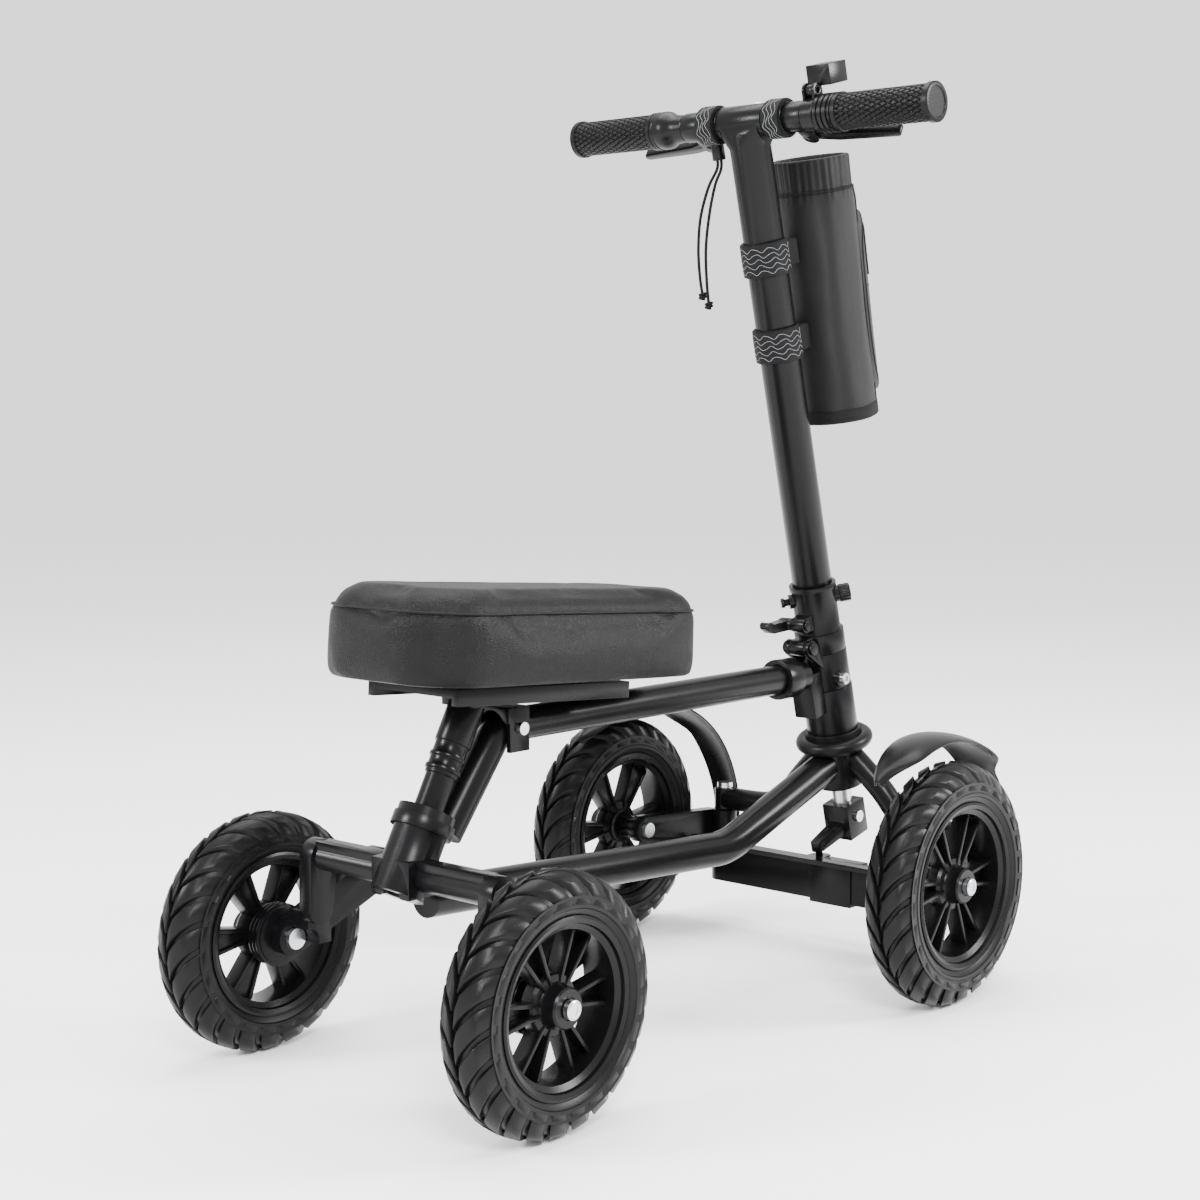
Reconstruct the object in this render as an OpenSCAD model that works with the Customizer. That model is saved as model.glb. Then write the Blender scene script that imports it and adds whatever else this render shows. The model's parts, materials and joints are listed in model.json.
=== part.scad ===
// Steerable four-wheel knee scooter with a bottle bag on the steering column.
// X is the direction of travel, Y points to the rider's left, Z is up, in millimetres.
// The origin lies on the ground under the middle of the scooter.

/* [Wheels] */
// Diameter of the rear tyres
rear_wheel_d = 228; // [215:1:240]
// Diameter of the front tyres
front_wheel_d = 250; // [236:1:262]
// Width of the tyres
tyre_w = 55; // [46:1:62]
// Diameter of the rear rims
rear_rim_d = 153; // [140:1:160]
// Diameter of the front rims
front_rim_d = 168; // [154:1:176]
// Diameter of the wheel axles
axle_d = 12; // [10:0.5:14]
// Distance from the rear axle to the front axle
wheelbase = 557; // [540:1:620]
// Distance between the middles of the rear tyres
rear_track = 370; // [362:1:420]
// Distance between the middles of the front tyres
front_track = 448; // [444:1:500]

/* [Frame] */
// Diameter of the main tube
main_d = 36; // [32:1:42]
// Height of the main tube's axis behind the rear pivots
main_z = 162; // [156:1:168]
// How far the main tube drops towards its front bend
main_drop = 20; // [10:1:24]
// Diameter of the crossbar under the seat
crossbar_d = 32; // [26:1:36]
// Height of the crossbar's axis
crossbar_z = 313; // [308:1:318]
// Distance of the front beam ahead of the front axle
kingpin_lead = 131; // [126:1:140]
// Height of the front beam
beam_h = 42; // [34:1:46]
// Length of the fenders, as an angle around the wheel
fender_angle = 138; // [110:1:142]

/* [Steering column] */
// Angle by which the column leans back
rake = 14.2; // [12:0.1:16]
// Distance of the headset ahead of the front axle
head_lead = 119; // [112:1:126]
// Height of the headset ring
head_z = 235; // [230:1:244]
// Diameter of the outer column tube
column_d = 49; // [47:0.5:52]
// Diameter of the stem tube that slides in it
stem_d = 43.5; // [38:0.5:44]
// Distance from the headset ring to the handlebar, along the column
bar_rise = 689; // [660:1:760]
// Width of the handlebar over the grips
bar_w = 462; // [430:1:520]
// Length of a grip
grip_l = 114; // [100:1:125]
// Diameter of a grip
grip_d = 37; // [32:0.5:40]

/* [Seat] */
// Length of the knee pad
seat_l = 400; // [340:1:430]
// Width of the knee pad
seat_w = 190; // [170:1:220]
// Thickness of the knee pad
seat_h = 88; // [60:1:90]
// Height of the top of the knee pad
seat_z = 457; // [452:1:480]
// Diameter of the seat post
post_d = 28; // [24:0.5:30]
// Lean of the seat post
post_lean = 28.9; // [24:0.1:30]

/* [Bag] */
// Diameter of the bottle bag
bag_d = 88; // [76:1:92]
// Length of the bottle bag
bag_l = 272; // [220:1:290]
// Thickness of the bag's padded wall
bag_wall = 4; // [3:0.5:5]
// Width of the bag's straps
strap_w = 36; // [25:1:40]

/* [Hidden] */
$fn = 64;

// Clearances: a running fit, a pressed fit, a sliding fit, a gap between neighbours.
run_gap = 0.05;
press_gap = 0.03;
slide_gap = 0.25;
side_gap = 0.5;

black = "#26272a";
rubber = "#1b1c1e";
steel = "#c8c9cb";

// Wheels
rear_r = rear_wheel_d / 2;
front_r = front_wheel_d / 2;
rear_y = rear_track / 2;
front_y = front_track / 2;
axle_r = axle_d / 2;
rim_w = tyre_w - 11;
rim_wall = 11;
hub_r = 19;
hub_in = 13;
hub_out = 24;
head_r = 8.5;
head_t = 6;
shoulder_r = 13;
spokes = 6;

// The head frame has its origin in the headset ring and its Z up the column.
head_x = wheelbase + head_lead;
function axis_x(z) = head_x - (z - head_z) * tan(rake);
lug_r = 27;
lug_s0 = -54;
lug_s1 = -8;
bore_r = 22;
ring_s1 = 14;
head_tube_r = 28.5;
head_tube_s1 = 66;
steerer_r = 15;
steerer_s0 = lug_s0 + 2;
bearing_l = 9;
shaft_r = 11;
shaft_s0 = -106;
clevis_s0 = shaft_s0 - 10;
clevis_w = 17;

// Fold hinge at the back of the column, with its pin across the scooter
hinge_s0 = head_tube_s1 + side_gap;
hinge_s1 = 108;
hinge_r = column_d / 2 + 3;
fold_u = -hinge_r - 10;
fold_s = 122;
fold_pin_r = 4;
ear_y0 = 10;
ear_t = 6;
column_s0 = hinge_s1 + side_gap;
column_s1 = 185;
sleeve_s1 = 131;
knob_s = 168;
knob_turn = -45;
lever_s = 147;
lever_u = -33;
lever_y = 22;

// Stem and handlebar
stem_s0 = column_s0 + 4;
bar_r = 11.1;
pad_r = 16.5;
switch_r = 17.5;
head_block = 29;
grip_y1 = bar_w / 2;
grip_y0 = grip_y1 - grip_l;
perch_y = 62;
lever_turn = 40;
lever_pivot = [28, 66];
lever_tip = [41, 162];

// Front suspension: the beam, its kingpins and the trailing knuckles
kingpin_x = wheelbase + kingpin_lead;
kingpin_y = front_y - 59;
kingpin_r = 6;
beam_z0 = front_r - 56 - beam_h / 2;
beam_top = beam_z0 + beam_h;
beam_t = 30;
barrel_r = 14;
barrel_z0 = beam_top + side_gap;
barrel_z1 = barrel_z0 + 41;
eye_r = 12;
eye_z0 = barrel_z1 + side_gap;
eye_z1 = eye_z0 + 26;
stay_d = 27;
arm_in = kingpin_y + barrel_r;
arm_t = 12;
steer_arm = 57;
steer_arm_t = 10;
tie_z0 = barrel_z0 + steer_arm_t + side_gap;
tie_t = 5;
tie_r = 8;
tie_pin_r = 4;
tie_gap = 0.45;
pitman_x = axis_x(tie_z0) - steer_arm / cos(rake);
fender_r = front_r + 32;
fender_t = 2.5;
fender_at = [wheelbase + 8, front_r - 7];
fender_y0 = kingpin_y - 1;
fender_y1 = front_y + 2;

// Rear end. The post frame has its origin in the rear housing and its Z up the seat post.
cross_x = 12;
cross_z = rear_r + 80;
cross_r = 12.5;
pivot_x = 112;
pivot_z = main_z;
arm_y1 = rear_y - 30;
arm_y0 = arm_y1 - 16;
plate_y0 = 108;
plate_y1 = 124;
drum_r = 30;
housing_r = 25;
housing_s0 = -20;
housing_s1 = 60;
post_r = post_d / 2;
post_s0 = housing_s0 + 3;
post_s1 = 170;
collar_s0 = 94;

// Seat
seat_bottom = seat_z - seat_h;
seat_x0 = -30;
seat_x1 = seat_x0 + seat_l;
seat_nose = seat_w - 40;
plate_t = 9;

// Bag. It hangs ahead of the column, its bottom turned a little away from it.
bag_r = bag_d / 2;
bag_u = stem_d / 2 + bag_r + 14;
bag_y = -6;
bag_s0 = bar_rise - 64 - bag_l;
bag_tilt = 2.5;
pocket_w = 74;
pocket_t = 20;
strap_t = 2.4;
strap_gap = 0.3;
strap_s = [bar_rise - 234, bar_rise - 142];
cord_r = 1.6;
lock_at = [0, 43, -36];
light_s = 24;

// The middle of the length, from the rear tyres to the front fenders, is the origin.
front_reach = fender_at.x + fender_r;
shift_x = (rear_r - front_reach) / 2;

module placed() { translate([shift_x, 0, 0]) children(); }
module in_head() { placed() translate([head_x, 0, head_z]) rotate([0, -rake, 0]) children(); }
module in_post() { placed() translate([cross_x, 0, cross_z]) rotate([0, post_lean, 0]) children(); }
module in_bar() { in_head() translate([0, 0, bar_rise]) children(); }
module on_side(side) { scale([1, side, 1]) children(); }
module both_sides() { children(); mirror([0, 1, 0]) children(); }
module along_y(r, y0, y1) { translate([0, y1, 0]) rotate([90, 0, 0]) cylinder(r = r, h = y1 - y0); }
module box(x0, x1, y0, y1, z0, z1) { translate([x0, y0, z0]) cube([x1 - x0, y1 - y0, z1 - z0]); }
module ring(r0, r1, z0, z1) {
    translate([0, 0, z0]) difference() {
        cylinder(r = r1, h = z1 - z0);
        translate([0, 0, -1]) cylinder(r = r0, h = z1 - z0 + 2);
    }
}

// A thin round tube swept along a list of points; ref is never parallel to it.
function along(p, i) = let (v = p[min(i + 1, len(p) - 1)] - p[max(i - 1, 0)]) v / norm(v);
function unit(v) = v / norm(v);
module swept(p, r, sides, ref) {
    n = len(p);
    points = [for (i = [0 : n - 1]) let (t = along(p, i), a = unit(cross(t, ref)), b = cross(t, a))
        for (k = [0 : sides - 1]) p[i] + r * (cos(k * 360 / sides) * a + sin(k * 360 / sides) * b)];
    walls = [for (i = [0 : n - 2]) for (k = [0 : sides - 1]) let (m = (k + 1) % sides)
        [i * sides + k, (i + 1) * sides + k, (i + 1) * sides + m, i * sides + m]];
    caps = [[for (k = [0 : sides - 1]) k], [for (k = [sides - 1 : -1 : 0]) (n - 1) * sides + k]];
    polyhedron(points, concat(walls, caps));
}

// A tube in the XZ plane along points given as [x, z], with bends of radius r
function heading(p, i) = atan2(p[i + 1].y - p[i].y, p[i + 1].x - p[i].x);
function turn(p, i) = heading(p, i) - heading(p, i - 1);
function step(a) = [cos(a), sin(a)];
function bend(p, i, r) = let (a = heading(p, i - 1), t = turn(p, i), hand = sign(t) * r,
    mid = p[i] - r * tan(abs(t) / 2) * step(a) + hand * step(a + 90))
    [for (k = [0 : 8]) mid - hand * step(a + 90 + k * t / 8)];
function tube_path(p, r) = [for (i = [0 : len(p) - 1])
    each (i == 0 || i == len(p) - 1 ? [p[i]] : bend(p, i, r))];
module bent_tube(p, r, d) {
    swept([for (q = tube_path(p, r)) [q.x, 0, q.y]], d / 2, 36, [0, 1, 0]);
}

// Points on smooth curves through the given ones
function smooth(p, steps) = [for (i = [0 : len(p) - 2]) for (k = [0 : steps - 1])
    let (t = k / steps, a = p[max(i - 1, 0)], b = p[i], c = p[i + 1], d = p[min(i + 2, len(p) - 1)])
    0.5 * (2 * b + (c - a) * t + (2 * a - 5 * b + 4 * c - d) * t * t
        + (3 * b - a - 3 * c + d) * t * t * t), p[len(p) - 1]];

// Frame
module lug_round() {
    in_head() translate([0, 0, lug_s0]) cylinder(r = lug_r, h = lug_s1 - lug_s0);
}
module housing_round() {
    in_post() {
        translate([0, 0, housing_s0]) cylinder(r = housing_r, h = housing_s1 - housing_s0);
        translate([0, 0, housing_s1 - 20]) cylinder(r = housing_r + 4, h = 12);
        translate([0, 0, housing_s1 - 8]) cylinder(r = housing_r + 2, h = 8);
    }
    placed() box(cross_x - 18, cross_x + 20, -24, 24, cross_z - 18, cross_z + 16);
}
module main_line() {
    placed() bent_tube([[30, cross_z - 26], [125, main_z], [478, main_z - main_drop], [666, main_z + 48]],
        110, main_d);
}
module main_tube() {
    color(black) difference() {
        main_line();
        lug_round();
        housing_round();
        in_head() translate([0, 0, lug_s1 - 2]) cylinder(r = 60, h = 60);
    }
}
module head_lug() {
    color(black) difference() {
        lug_round();
        in_head() translate([0, 0, lug_s0 - 1]) cylinder(r = bore_r, h = lug_s1 - lug_s0 + 2);
    }
}
module head_tube() {
    color(black) in_head() {
        ring(bore_r, head_tube_r, ring_s1, head_tube_s1);
    }
}
module ring_round() {
    in_head() {
        translate([0, 0, lug_s1]) cylinder(r = head_tube_r + 2, h = ring_s1 - lug_s1);
        rotate_extrude() translate([head_tube_r + 7, 0]) circle(r = 8);
    }
}
module headset_ring() {
    color(rubber) difference() {
        ring_round();
        in_head() translate([0, 0, lug_s1 - 1]) cylinder(r = bore_r, h = ring_s1 - lug_s1 + 2);
    }
}
module front_stays() {
    line = smooth([[axis_x(220) + 2, 6, 228], [kingpin_x - 4, 30, eye_z0 + 76], [kingpin_x + 1, 56, eye_z0 + 50],
        [kingpin_x + 3, 78, eye_z0 + 25], [kingpin_x + 2, 104, eye_z0 + 14],
        [kingpin_x, kingpin_y - 2, eye_z0 + 13]], 5);
    color(black) difference() {
        placed() both_sides() {
            swept(line, stay_d / 2, 28, [1, 0, 0]);
            translate([kingpin_x, kingpin_y, eye_z0]) cylinder(r = eye_r, h = eye_z1 - eye_z0);
        }
        in_head() translate([0, 0, lug_s0 - 20]) cylinder(r = lug_r, h = lug_s1 - lug_s0 + 20);
        in_head() translate([0, 0, lug_s1 - 2]) cylinder(r = 60, h = 60);
        main_line();
        placed() both_sides() translate([kingpin_x, kingpin_y, 0]) {
            cylinder(r = kingpin_r + press_gap, h = head_z);
            translate([0, 0, eye_z0 - 30]) cylinder(r = barrel_r + 6, h = 30);
            translate([0, 0, eye_z1]) cylinder(r = barrel_r, h = 30);
        }
    }
}
module front_beam() {
    color(black) placed() {
        box(kingpin_x - beam_t / 2, kingpin_x + beam_t / 2, -kingpin_y, kingpin_y, beam_z0, beam_top);
        box(kingpin_x - beam_t / 2 - 3, kingpin_x + beam_t / 2 + 3, -28, 28, beam_z0 - 3, beam_top + 2);
        both_sides() translate([kingpin_x, kingpin_y, 0]) {
            translate([0, 0, beam_z0]) cylinder(r = beam_t / 2, h = beam_h);
            translate([0, 0, beam_top - 1]) cylinder(r = kingpin_r, h = eye_z1 - beam_top + 1);
        }
    }
}
module rear_housing() {
    color(black) difference() {
        housing_round();
        in_post() translate([0, 0, housing_s0 - 30])
            cylinder(r = post_r + slide_gap, h = housing_s1 - housing_s0 + 60);
    }
}
module rear_arm() {
    placed() difference() {
        union() {
            hull() {
                translate([pivot_x, 0, pivot_z]) along_y(20, arm_y0, arm_y1, $fn = 32);
                translate([0, 0, rear_r]) along_y(17, arm_y0, arm_y1, $fn = 32);
            }
            translate([cross_x, 0, cross_z]) along_y(cross_r, 24, plate_y0 + 1);
            translate([pivot_x, 0, pivot_z]) along_y(cross_r, 0, arm_y0 + 1);
            hull() {
                translate([cross_x, 0, cross_z]) along_y(cross_r + 4, plate_y0, plate_y1, $fn = 32);
                translate([cross_x - 4, 0, rear_r + 30]) along_y(14, plate_y0, plate_y1, $fn = 32);
            }
            box(cross_x - 14, cross_x + 14, plate_y1 - 8, arm_y0 + 1, rear_r - 4, rear_r + 28);
            box(cross_x - 10, cross_x + 8, 24, plate_y0 + 1, cross_z + 8, cross_z + 16);
        }
        translate([0, 0, rear_r]) along_y(axle_r + press_gap, plate_y0 - 20, arm_y1 + 1);
        translate([0, 0, rear_r]) along_y(head_r + 3, plate_y0 - 20, arm_y0);
        box(0, 200, -1, 0, 0, 300);
    }
}
module rear_arm_left() {
    color(black) difference() { rear_arm(); main_line(); housing_round(); }
}
module rear_arm_right() {
    color(black) difference() { mirror([0, 1, 0]) rear_arm(); main_line(); housing_round(); }
}
// The bracket that ties the crossbar to the back of the head tube
module bracket_solid() {
    in_head() difference() {
        box(-46, -20, -14, 14, 42, 92);
        translate([0, 0, 20]) cylinder(r = head_tube_r, h = head_tube_s1 - 20);
        translate([0, 0, head_tube_s1 - 1]) cylinder(r = head_tube_r + 1.5, h = 60);
    }
}
module crossbar() {
    color(black) difference() {
        placed() bent_tube([[56, 214], [132, crossbar_z], [620, crossbar_z]], 34, crossbar_d);
        housing_round();
        bracket_solid();
        in_head() translate([0, 0, head_tube_s1 - 40]) cylinder(r = head_tube_r + 1.5, h = 90);
        in_head() box(-44.5, 20, -40, 40, 40, 150);
    }
}
module crossbar_clamps() {
    color(black) {
        bracket_solid();
        placed() translate([566, 0, crossbar_z]) rotate([0, 90, 0])
            ring(crossbar_d / 2 + press_gap, crossbar_d / 2 + 6, 0, 26);
        placed() difference() {
            box(124, 152, -22, 22, crossbar_z - 22, crossbar_z + 20);
            translate([100, 0, crossbar_z]) rotate([0, 90, 0])
                cylinder(r = crossbar_d / 2 + press_gap, h = 80);
            translate([100, -30, crossbar_z - 40]) cube([26, 60, 45]);
            translate([100, -crossbar_d / 2 - 1, crossbar_z - 40]) cube([80, crossbar_d + 2, 40]);
        }
    }
}
module frame_bolts() {
    color(steel) placed() {
        both_sides() translate([140, 0, crossbar_z]) along_y(6, 22, 27);
        both_sides() translate([kingpin_x, kingpin_y, eye_z1]) cylinder(r = 9, h = 6);
    }
}
module brake_drums() {
    color(black) placed() both_sides() translate([0, 0, rear_r]) difference() {
        union() {
            along_y(drum_r - 3, arm_y1, rear_y - hub_in - 0.6);
            for (k = [0 : 2]) along_y(drum_r, arm_y1 + 2 + k * 5, arm_y1 + 4.5 + k * 5);
        }
        along_y(axle_r + press_gap, arm_y1 - 1, rear_y);
    }
}
module rear_axles() {
    color(steel) placed() both_sides() translate([0, 0, rear_r]) {
        along_y(axle_r, arm_y0 - 3, rear_y + hub_out + head_t);
        along_y(head_r + 1.5, arm_y0 - 5, arm_y0);
        along_y(head_r, rear_y + hub_out + 0.4, rear_y + hub_out + head_t);
    }
}

// Steering
module steerer_tube() {
    color(steel) in_head() ring(shaft_r + slide_gap, steerer_r, steerer_s0, hinge_s0 + 24);
}
module steerer_bearings() {
    color(steel) in_head() {
        ring(steerer_r + run_gap, bore_r - press_gap, lug_s0 + 3, lug_s0 + 3 + bearing_l);
        ring(steerer_r + run_gap, bore_r - press_gap, head_tube_s1 - 3 - bearing_l, head_tube_s1 - 3);
    }
}
module steering_shaft() {
    color(steel) in_head() {
        translate([0, 0, shaft_s0]) cylinder(r = shaft_r, h = -shaft_s0 + 20);
        both_sides() translate([0, 0, clevis_s0 + 24]) along_y(6.5, clevis_w, clevis_w + 4);
    }
}
module pitman_bracket() {
    color(black) in_head() {
        difference() {
            union() {
                box(-clevis_w, clevis_w, -clevis_w, clevis_w, clevis_s0, clevis_s0 + 40);
                hull() {
                    translate([-8, 0, shaft_s0 - 3]) cylinder(r = 10, h = 14, $fn = 32);
                    translate([-steer_arm, 0, shaft_s0 - 6]) cylinder(r = 8, h = 10, $fn = 32);
                }
            }
            translate([0, 0, shaft_s0]) cylinder(r = shaft_r + press_gap, h = 60);
        }
        translate([-steer_arm, 0, shaft_s0 - 21]) cylinder(r = tie_pin_r, h = 16);
    }
}
module hinge_base() {
    color(black) in_head() difference() {
        union() {
            translate([0, 0, hinge_s0]) cylinder(r = hinge_r, h = hinge_s1 - hinge_s0);
            both_sides() translate([-8, 0, hinge_s0 + 12]) along_y(9, 15, hinge_r + 1);
            for (side = [-1, 1]) on_side(side) hull() {
                translate([fold_u, 0, fold_s]) along_y(9, ear_y0, ear_y0 + ear_t, $fn = 32);
                translate([-16, 0, hinge_s1 - 9]) along_y(8.5, ear_y0, ear_y0 + ear_t, $fn = 32);
            }
        }
        translate([0, 0, hinge_s0 - 1]) cylinder(r = steerer_r + press_gap, h = 26);
        translate([0, 0, hinge_s0 - 1]) cylinder(r = shaft_r + 0.5, h = 26);
        translate([fold_u, 0, fold_s]) along_y(fold_pin_r + press_gap, -30, 30);
        translate([fold_u, 0, fold_s]) along_y(12, -ear_y0, ear_y0);
        translate([0, 0, hinge_s1]) cylinder(r = hinge_r + 0.6, h = 60);
    }
}
module fold_pin() {
    color(steel) in_head() translate([fold_u, 0, fold_s]) {
        along_y(fold_pin_r, -19, 19);
        both_sides() along_y(7, ear_y0 + ear_t, ear_y0 + ear_t + 3.5);
    }
    color(steel) in_head() both_sides() translate([-8, 0, hinge_s0 + 12]) along_y(6, hinge_r + 1, hinge_r + 4);
}
module column_tube() {
    stem_r = stem_d / 2;
    color(black) in_head() difference() {
        union() {
            translate([0, 0, column_s0]) cylinder(d = column_d, h = column_s1 - column_s0);
            translate([0, 0, column_s0]) cylinder(r = hinge_r, h = sleeve_s1 - column_s0);
            translate([0, 0, column_s1 - 6]) cylinder(r = column_d / 2 + 1.5, h = 6);
            hull() {
                translate([fold_u, 0, fold_s]) along_y(9, -ear_y0 + 0.5, ear_y0 - 0.5, $fn = 32);
                translate([-14, 0, fold_s]) along_y(9, -ear_y0 + 0.5, ear_y0 - 0.5, $fn = 32);
            }
            hull() {
                translate([lever_u, 0, lever_s]) along_y(8, -10, 8, $fn = 32);
                translate([-14, 0, lever_s]) along_y(9, -10, 8, $fn = 32);
            }
            translate([0, 0, knob_s]) rotate([0, 90, knob_turn]) cylinder(r = 9, h = column_d / 2 + 3);
            translate([0, 0, knob_s]) rotate([0, 90, knob_turn + 180]) cylinder(r = 8, h = column_d / 2 + 4);
        }
        translate([0, 0, column_s0 + 3]) cylinder(r = stem_r + slide_gap, h = 100);
        translate([0, 0, knob_s]) rotate([0, 90, knob_turn]) cylinder(r = 4 + run_gap, h = 60);
        translate([fold_u, 0, fold_s]) along_y(fold_pin_r + run_gap, -30, 30);
        translate([lever_u, 0, lever_s]) along_y(3 + press_gap, -30, 30);
    }
}
module column_knob() {
    r0 = column_d / 2 + 3.3;
    color(rubber) in_head() translate([0, 0, knob_s]) rotate([0, 90, knob_turn]) {
        translate([0, 0, stem_d / 2 + 0.5]) cylinder(r = 4, h = r0 - stem_d / 2);
        difference() {
            translate([0, 0, r0]) cylinder(r = 10, h = 12);
            for (k = [0 : 5]) rotate(k * 60) translate([12.5, 0, r0 - 1]) cylinder(r = 3.6, h = 17, $fn = 24);
        }
    }
}
module column_spring_pin() {
    color(steel) in_head() translate([0, 0, knob_s]) rotate([0, 90, knob_turn + 180]) {
        translate([0, 0, column_d / 2 + 4]) cylinder(r = 4, h = 5);
        translate([0, 0, column_d / 2 + 9]) cylinder(r = 5.5, h = 4);
    }
}
module lever_pin() {
    color(steel) in_head() translate([lever_u, 0, lever_s]) {
        along_y(3, -11, 26);
        along_y(6, -13, -10);
        along_y(6, 24.5, 27);
    }
}
module quick_release_lever() {
    color(rubber) in_head() translate([lever_u, 0, lever_s]) difference() {
        union() {
            along_y(7, 8.5, 24);
            hull() {
                translate([-2, 0, 0]) along_y(6, 13, 24, $fn = 32);
                translate([-26, 0, 3]) along_y(5, 15, 27, $fn = 32);
            }
            hull() {
                translate([-26, 0, 3]) along_y(5, 15, 27, $fn = 32);
                translate([-32, 0, 8]) along_y(4, 15, 27, $fn = 32);
            }
        }
        along_y(3 + run_gap, 0, 24.4);
        along_y(6.4, 24.1, 30);
    }
}
module tie_bar() {
    x = kingpin_x - steer_arm;
    color(steel) difference() {
        placed() {
            box(x - tie_r, x + tie_r, -kingpin_y, kingpin_y, tie_z0, tie_z0 + tie_t);
            box(x, pitman_x, -tie_r - 4, tie_r + 4, tie_z0, tie_z0 + tie_t);
            both_sides() translate([x, kingpin_y, tie_z0]) cylinder(r = tie_r, h = tie_t);
            translate([pitman_x, 0, tie_z0]) cylinder(r = tie_r + 4, h = tie_t);
        }
        placed() both_sides() translate([x, kingpin_y, tie_z0 - 9]) cylinder(r = tie_pin_r + tie_gap, h = 30);
        in_head() translate([-steer_arm, 0, shaft_s0 - 60]) cylinder(r = tie_pin_r + run_gap, h = 80);
    }
}

// Stem and handlebar
module stem_solid() {
    in_head() translate([0, 0, stem_s0]) cylinder(d = stem_d, h = bar_rise - 10 - stem_s0);
    in_bar() along_y(head_block / 2 + 3, -head_block, head_block);
    in_bar() hull() {
        translate([0, 0, -26]) cylinder(d = stem_d, h = 2, $fn = 32);
        translate([0, 0, -4]) along_y(head_block / 2 + 3, -24, 24, $fn = 32);
    }
}
module stem() {
    color(black) difference() {
        stem_solid();
        in_bar() along_y(bar_r + press_gap, -grip_y1, grip_y1);
        in_head() translate([0, 0, stem_s0 - 1]) cylinder(r = stem_d / 2 - 3, h = bar_rise - 60 - stem_s0);
    }
}
module handlebar() {
    color(black) in_bar() along_y(bar_r, -grip_y1 + 3, grip_y1 - 3);
}
module bar_fittings() {
    color(black) in_bar() difference() {
        union() {
            both_sides() along_y(20, grip_y0 - 22, grip_y0 - 0.5);
            along_y(switch_r, -grip_y0 + 23, -78);
            along_y(15, 78, grip_y0 - 23);
            both_sides() along_y(pad_r, head_block + side_gap, 54);
        }
        along_y(bar_r + press_gap, -grip_y1, grip_y1);
    }
}
module grips() {
    color(rubber) in_bar() both_sides() difference() {
        union() {
            along_y(grip_d / 2, grip_y0, grip_y1);
            along_y(grip_d / 2 + 1.5, grip_y1 - 6, grip_y1);
            along_y(grip_d / 2 + 1.5, grip_y0, grip_y0 + 5);
        }
        along_y(bar_r + press_gap, grip_y0 - 1, grip_y1 - 3 + press_gap);
    }
}
module reflector() {
    color(steel) difference() {
        in_bar() translate([head_block / 2 - 2, 0, 0]) rotate([0, 90, 0]) cylinder(r = 17, h = 12);
        stem_solid();
    }
}
module light_bracket() {
    color(black) in_bar() {
        difference() {
            union() {
                box(-8, 8, -94, -79, 0, light_s);
                translate([0, 0, light_s]) along_y(8, -94, -79);
            }
            along_y(switch_r + press_gap, -grip_y1, grip_y1);
            translate([0, 0, light_s]) along_y(3 + press_gap, -120, -60);
            translate([-10, -91, 15]) cube([20, 9, 30]);
        }
    }
}
module front_light() {
    color(rubber) in_bar() translate([0, 0, light_s]) difference() {
        union() {
            along_y(6.3, -90.5, -82.5);
            box(0, 12, -90.5, -82.5, -4, 6.3);
            box(9, 40, -104, -76, 3, 24);
        }
        along_y(3 + run_gap, -120, -60);
    }
}
module lever_perch() {
    difference() {
        union() {
            along_y(15.5, 55, 77);
            box(0, lever_pivot.x + 2, 58, 74, -9, 9);
            translate([lever_pivot.x, lever_pivot.y, -9]) cylinder(r = 9, h = 18);
        }
        along_y(bar_r + press_gap, 0, 100);
        translate([16.5, 40, -5.5]) cube([40, 60, 11]);
        translate([lever_pivot.x, lever_pivot.y, -20]) cylinder(r = 3 - press_gap, h = 40);
    }
    translate([lever_pivot.x, lever_pivot.y, -10]) cylinder(r = 3, h = 20);
}
module lever_perches() {
    color(black) in_bar() rotate([0, lever_turn, 0]) both_sides() lever_perch();
}
module brake_lever(side) {
    color(black) in_bar() rotate([0, lever_turn, 0]) on_side(side) difference() {
        union() {
            hull() {
                translate([lever_pivot.x, lever_pivot.y, -5]) cylinder(r = 7.5, h = 10, $fn = 32);
                translate([lever_pivot.x + 8, lever_pivot.y + 28, -5]) cylinder(r = 6, h = 10, $fn = 32);
            }
            hull() {
                translate([lever_pivot.x + 8, lever_pivot.y + 28, -5]) cylinder(r = 6, h = 10, $fn = 32);
                translate([lever_tip.x, lever_tip.y, -5]) cylinder(r = 4.5, h = 10, $fn = 32);
            }
        }
        translate([lever_pivot.x, lever_pivot.y, -20]) cylinder(r = 3 + run_gap, h = 40);
    }
}
module brake_lever_left() { brake_lever(1); }
module brake_lever_right() { brake_lever(-1); }

// Bag, its straps and its drawstring
module in_bag() {
    in_head() translate([bag_u, bag_y, bag_s0]) rotate([0, bag_tilt, 0]) children();
}
module bag() {
    color(rubber) in_bag() {
        difference() {
            cylinder(r = bag_r, h = bag_l);
            translate([0, 0, bag_wall]) cylinder(r = bag_r - bag_wall, h = bag_l);
        }
        difference() {
            translate([bag_r - 24, -pocket_w / 2, 18]) cube([24 + pocket_t - 4, pocket_w, bag_l - 66]);
            translate([0, 0, -1]) cylinder(r = bag_r - 1, h = bag_l + 2);
        }
    }
}
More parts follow.
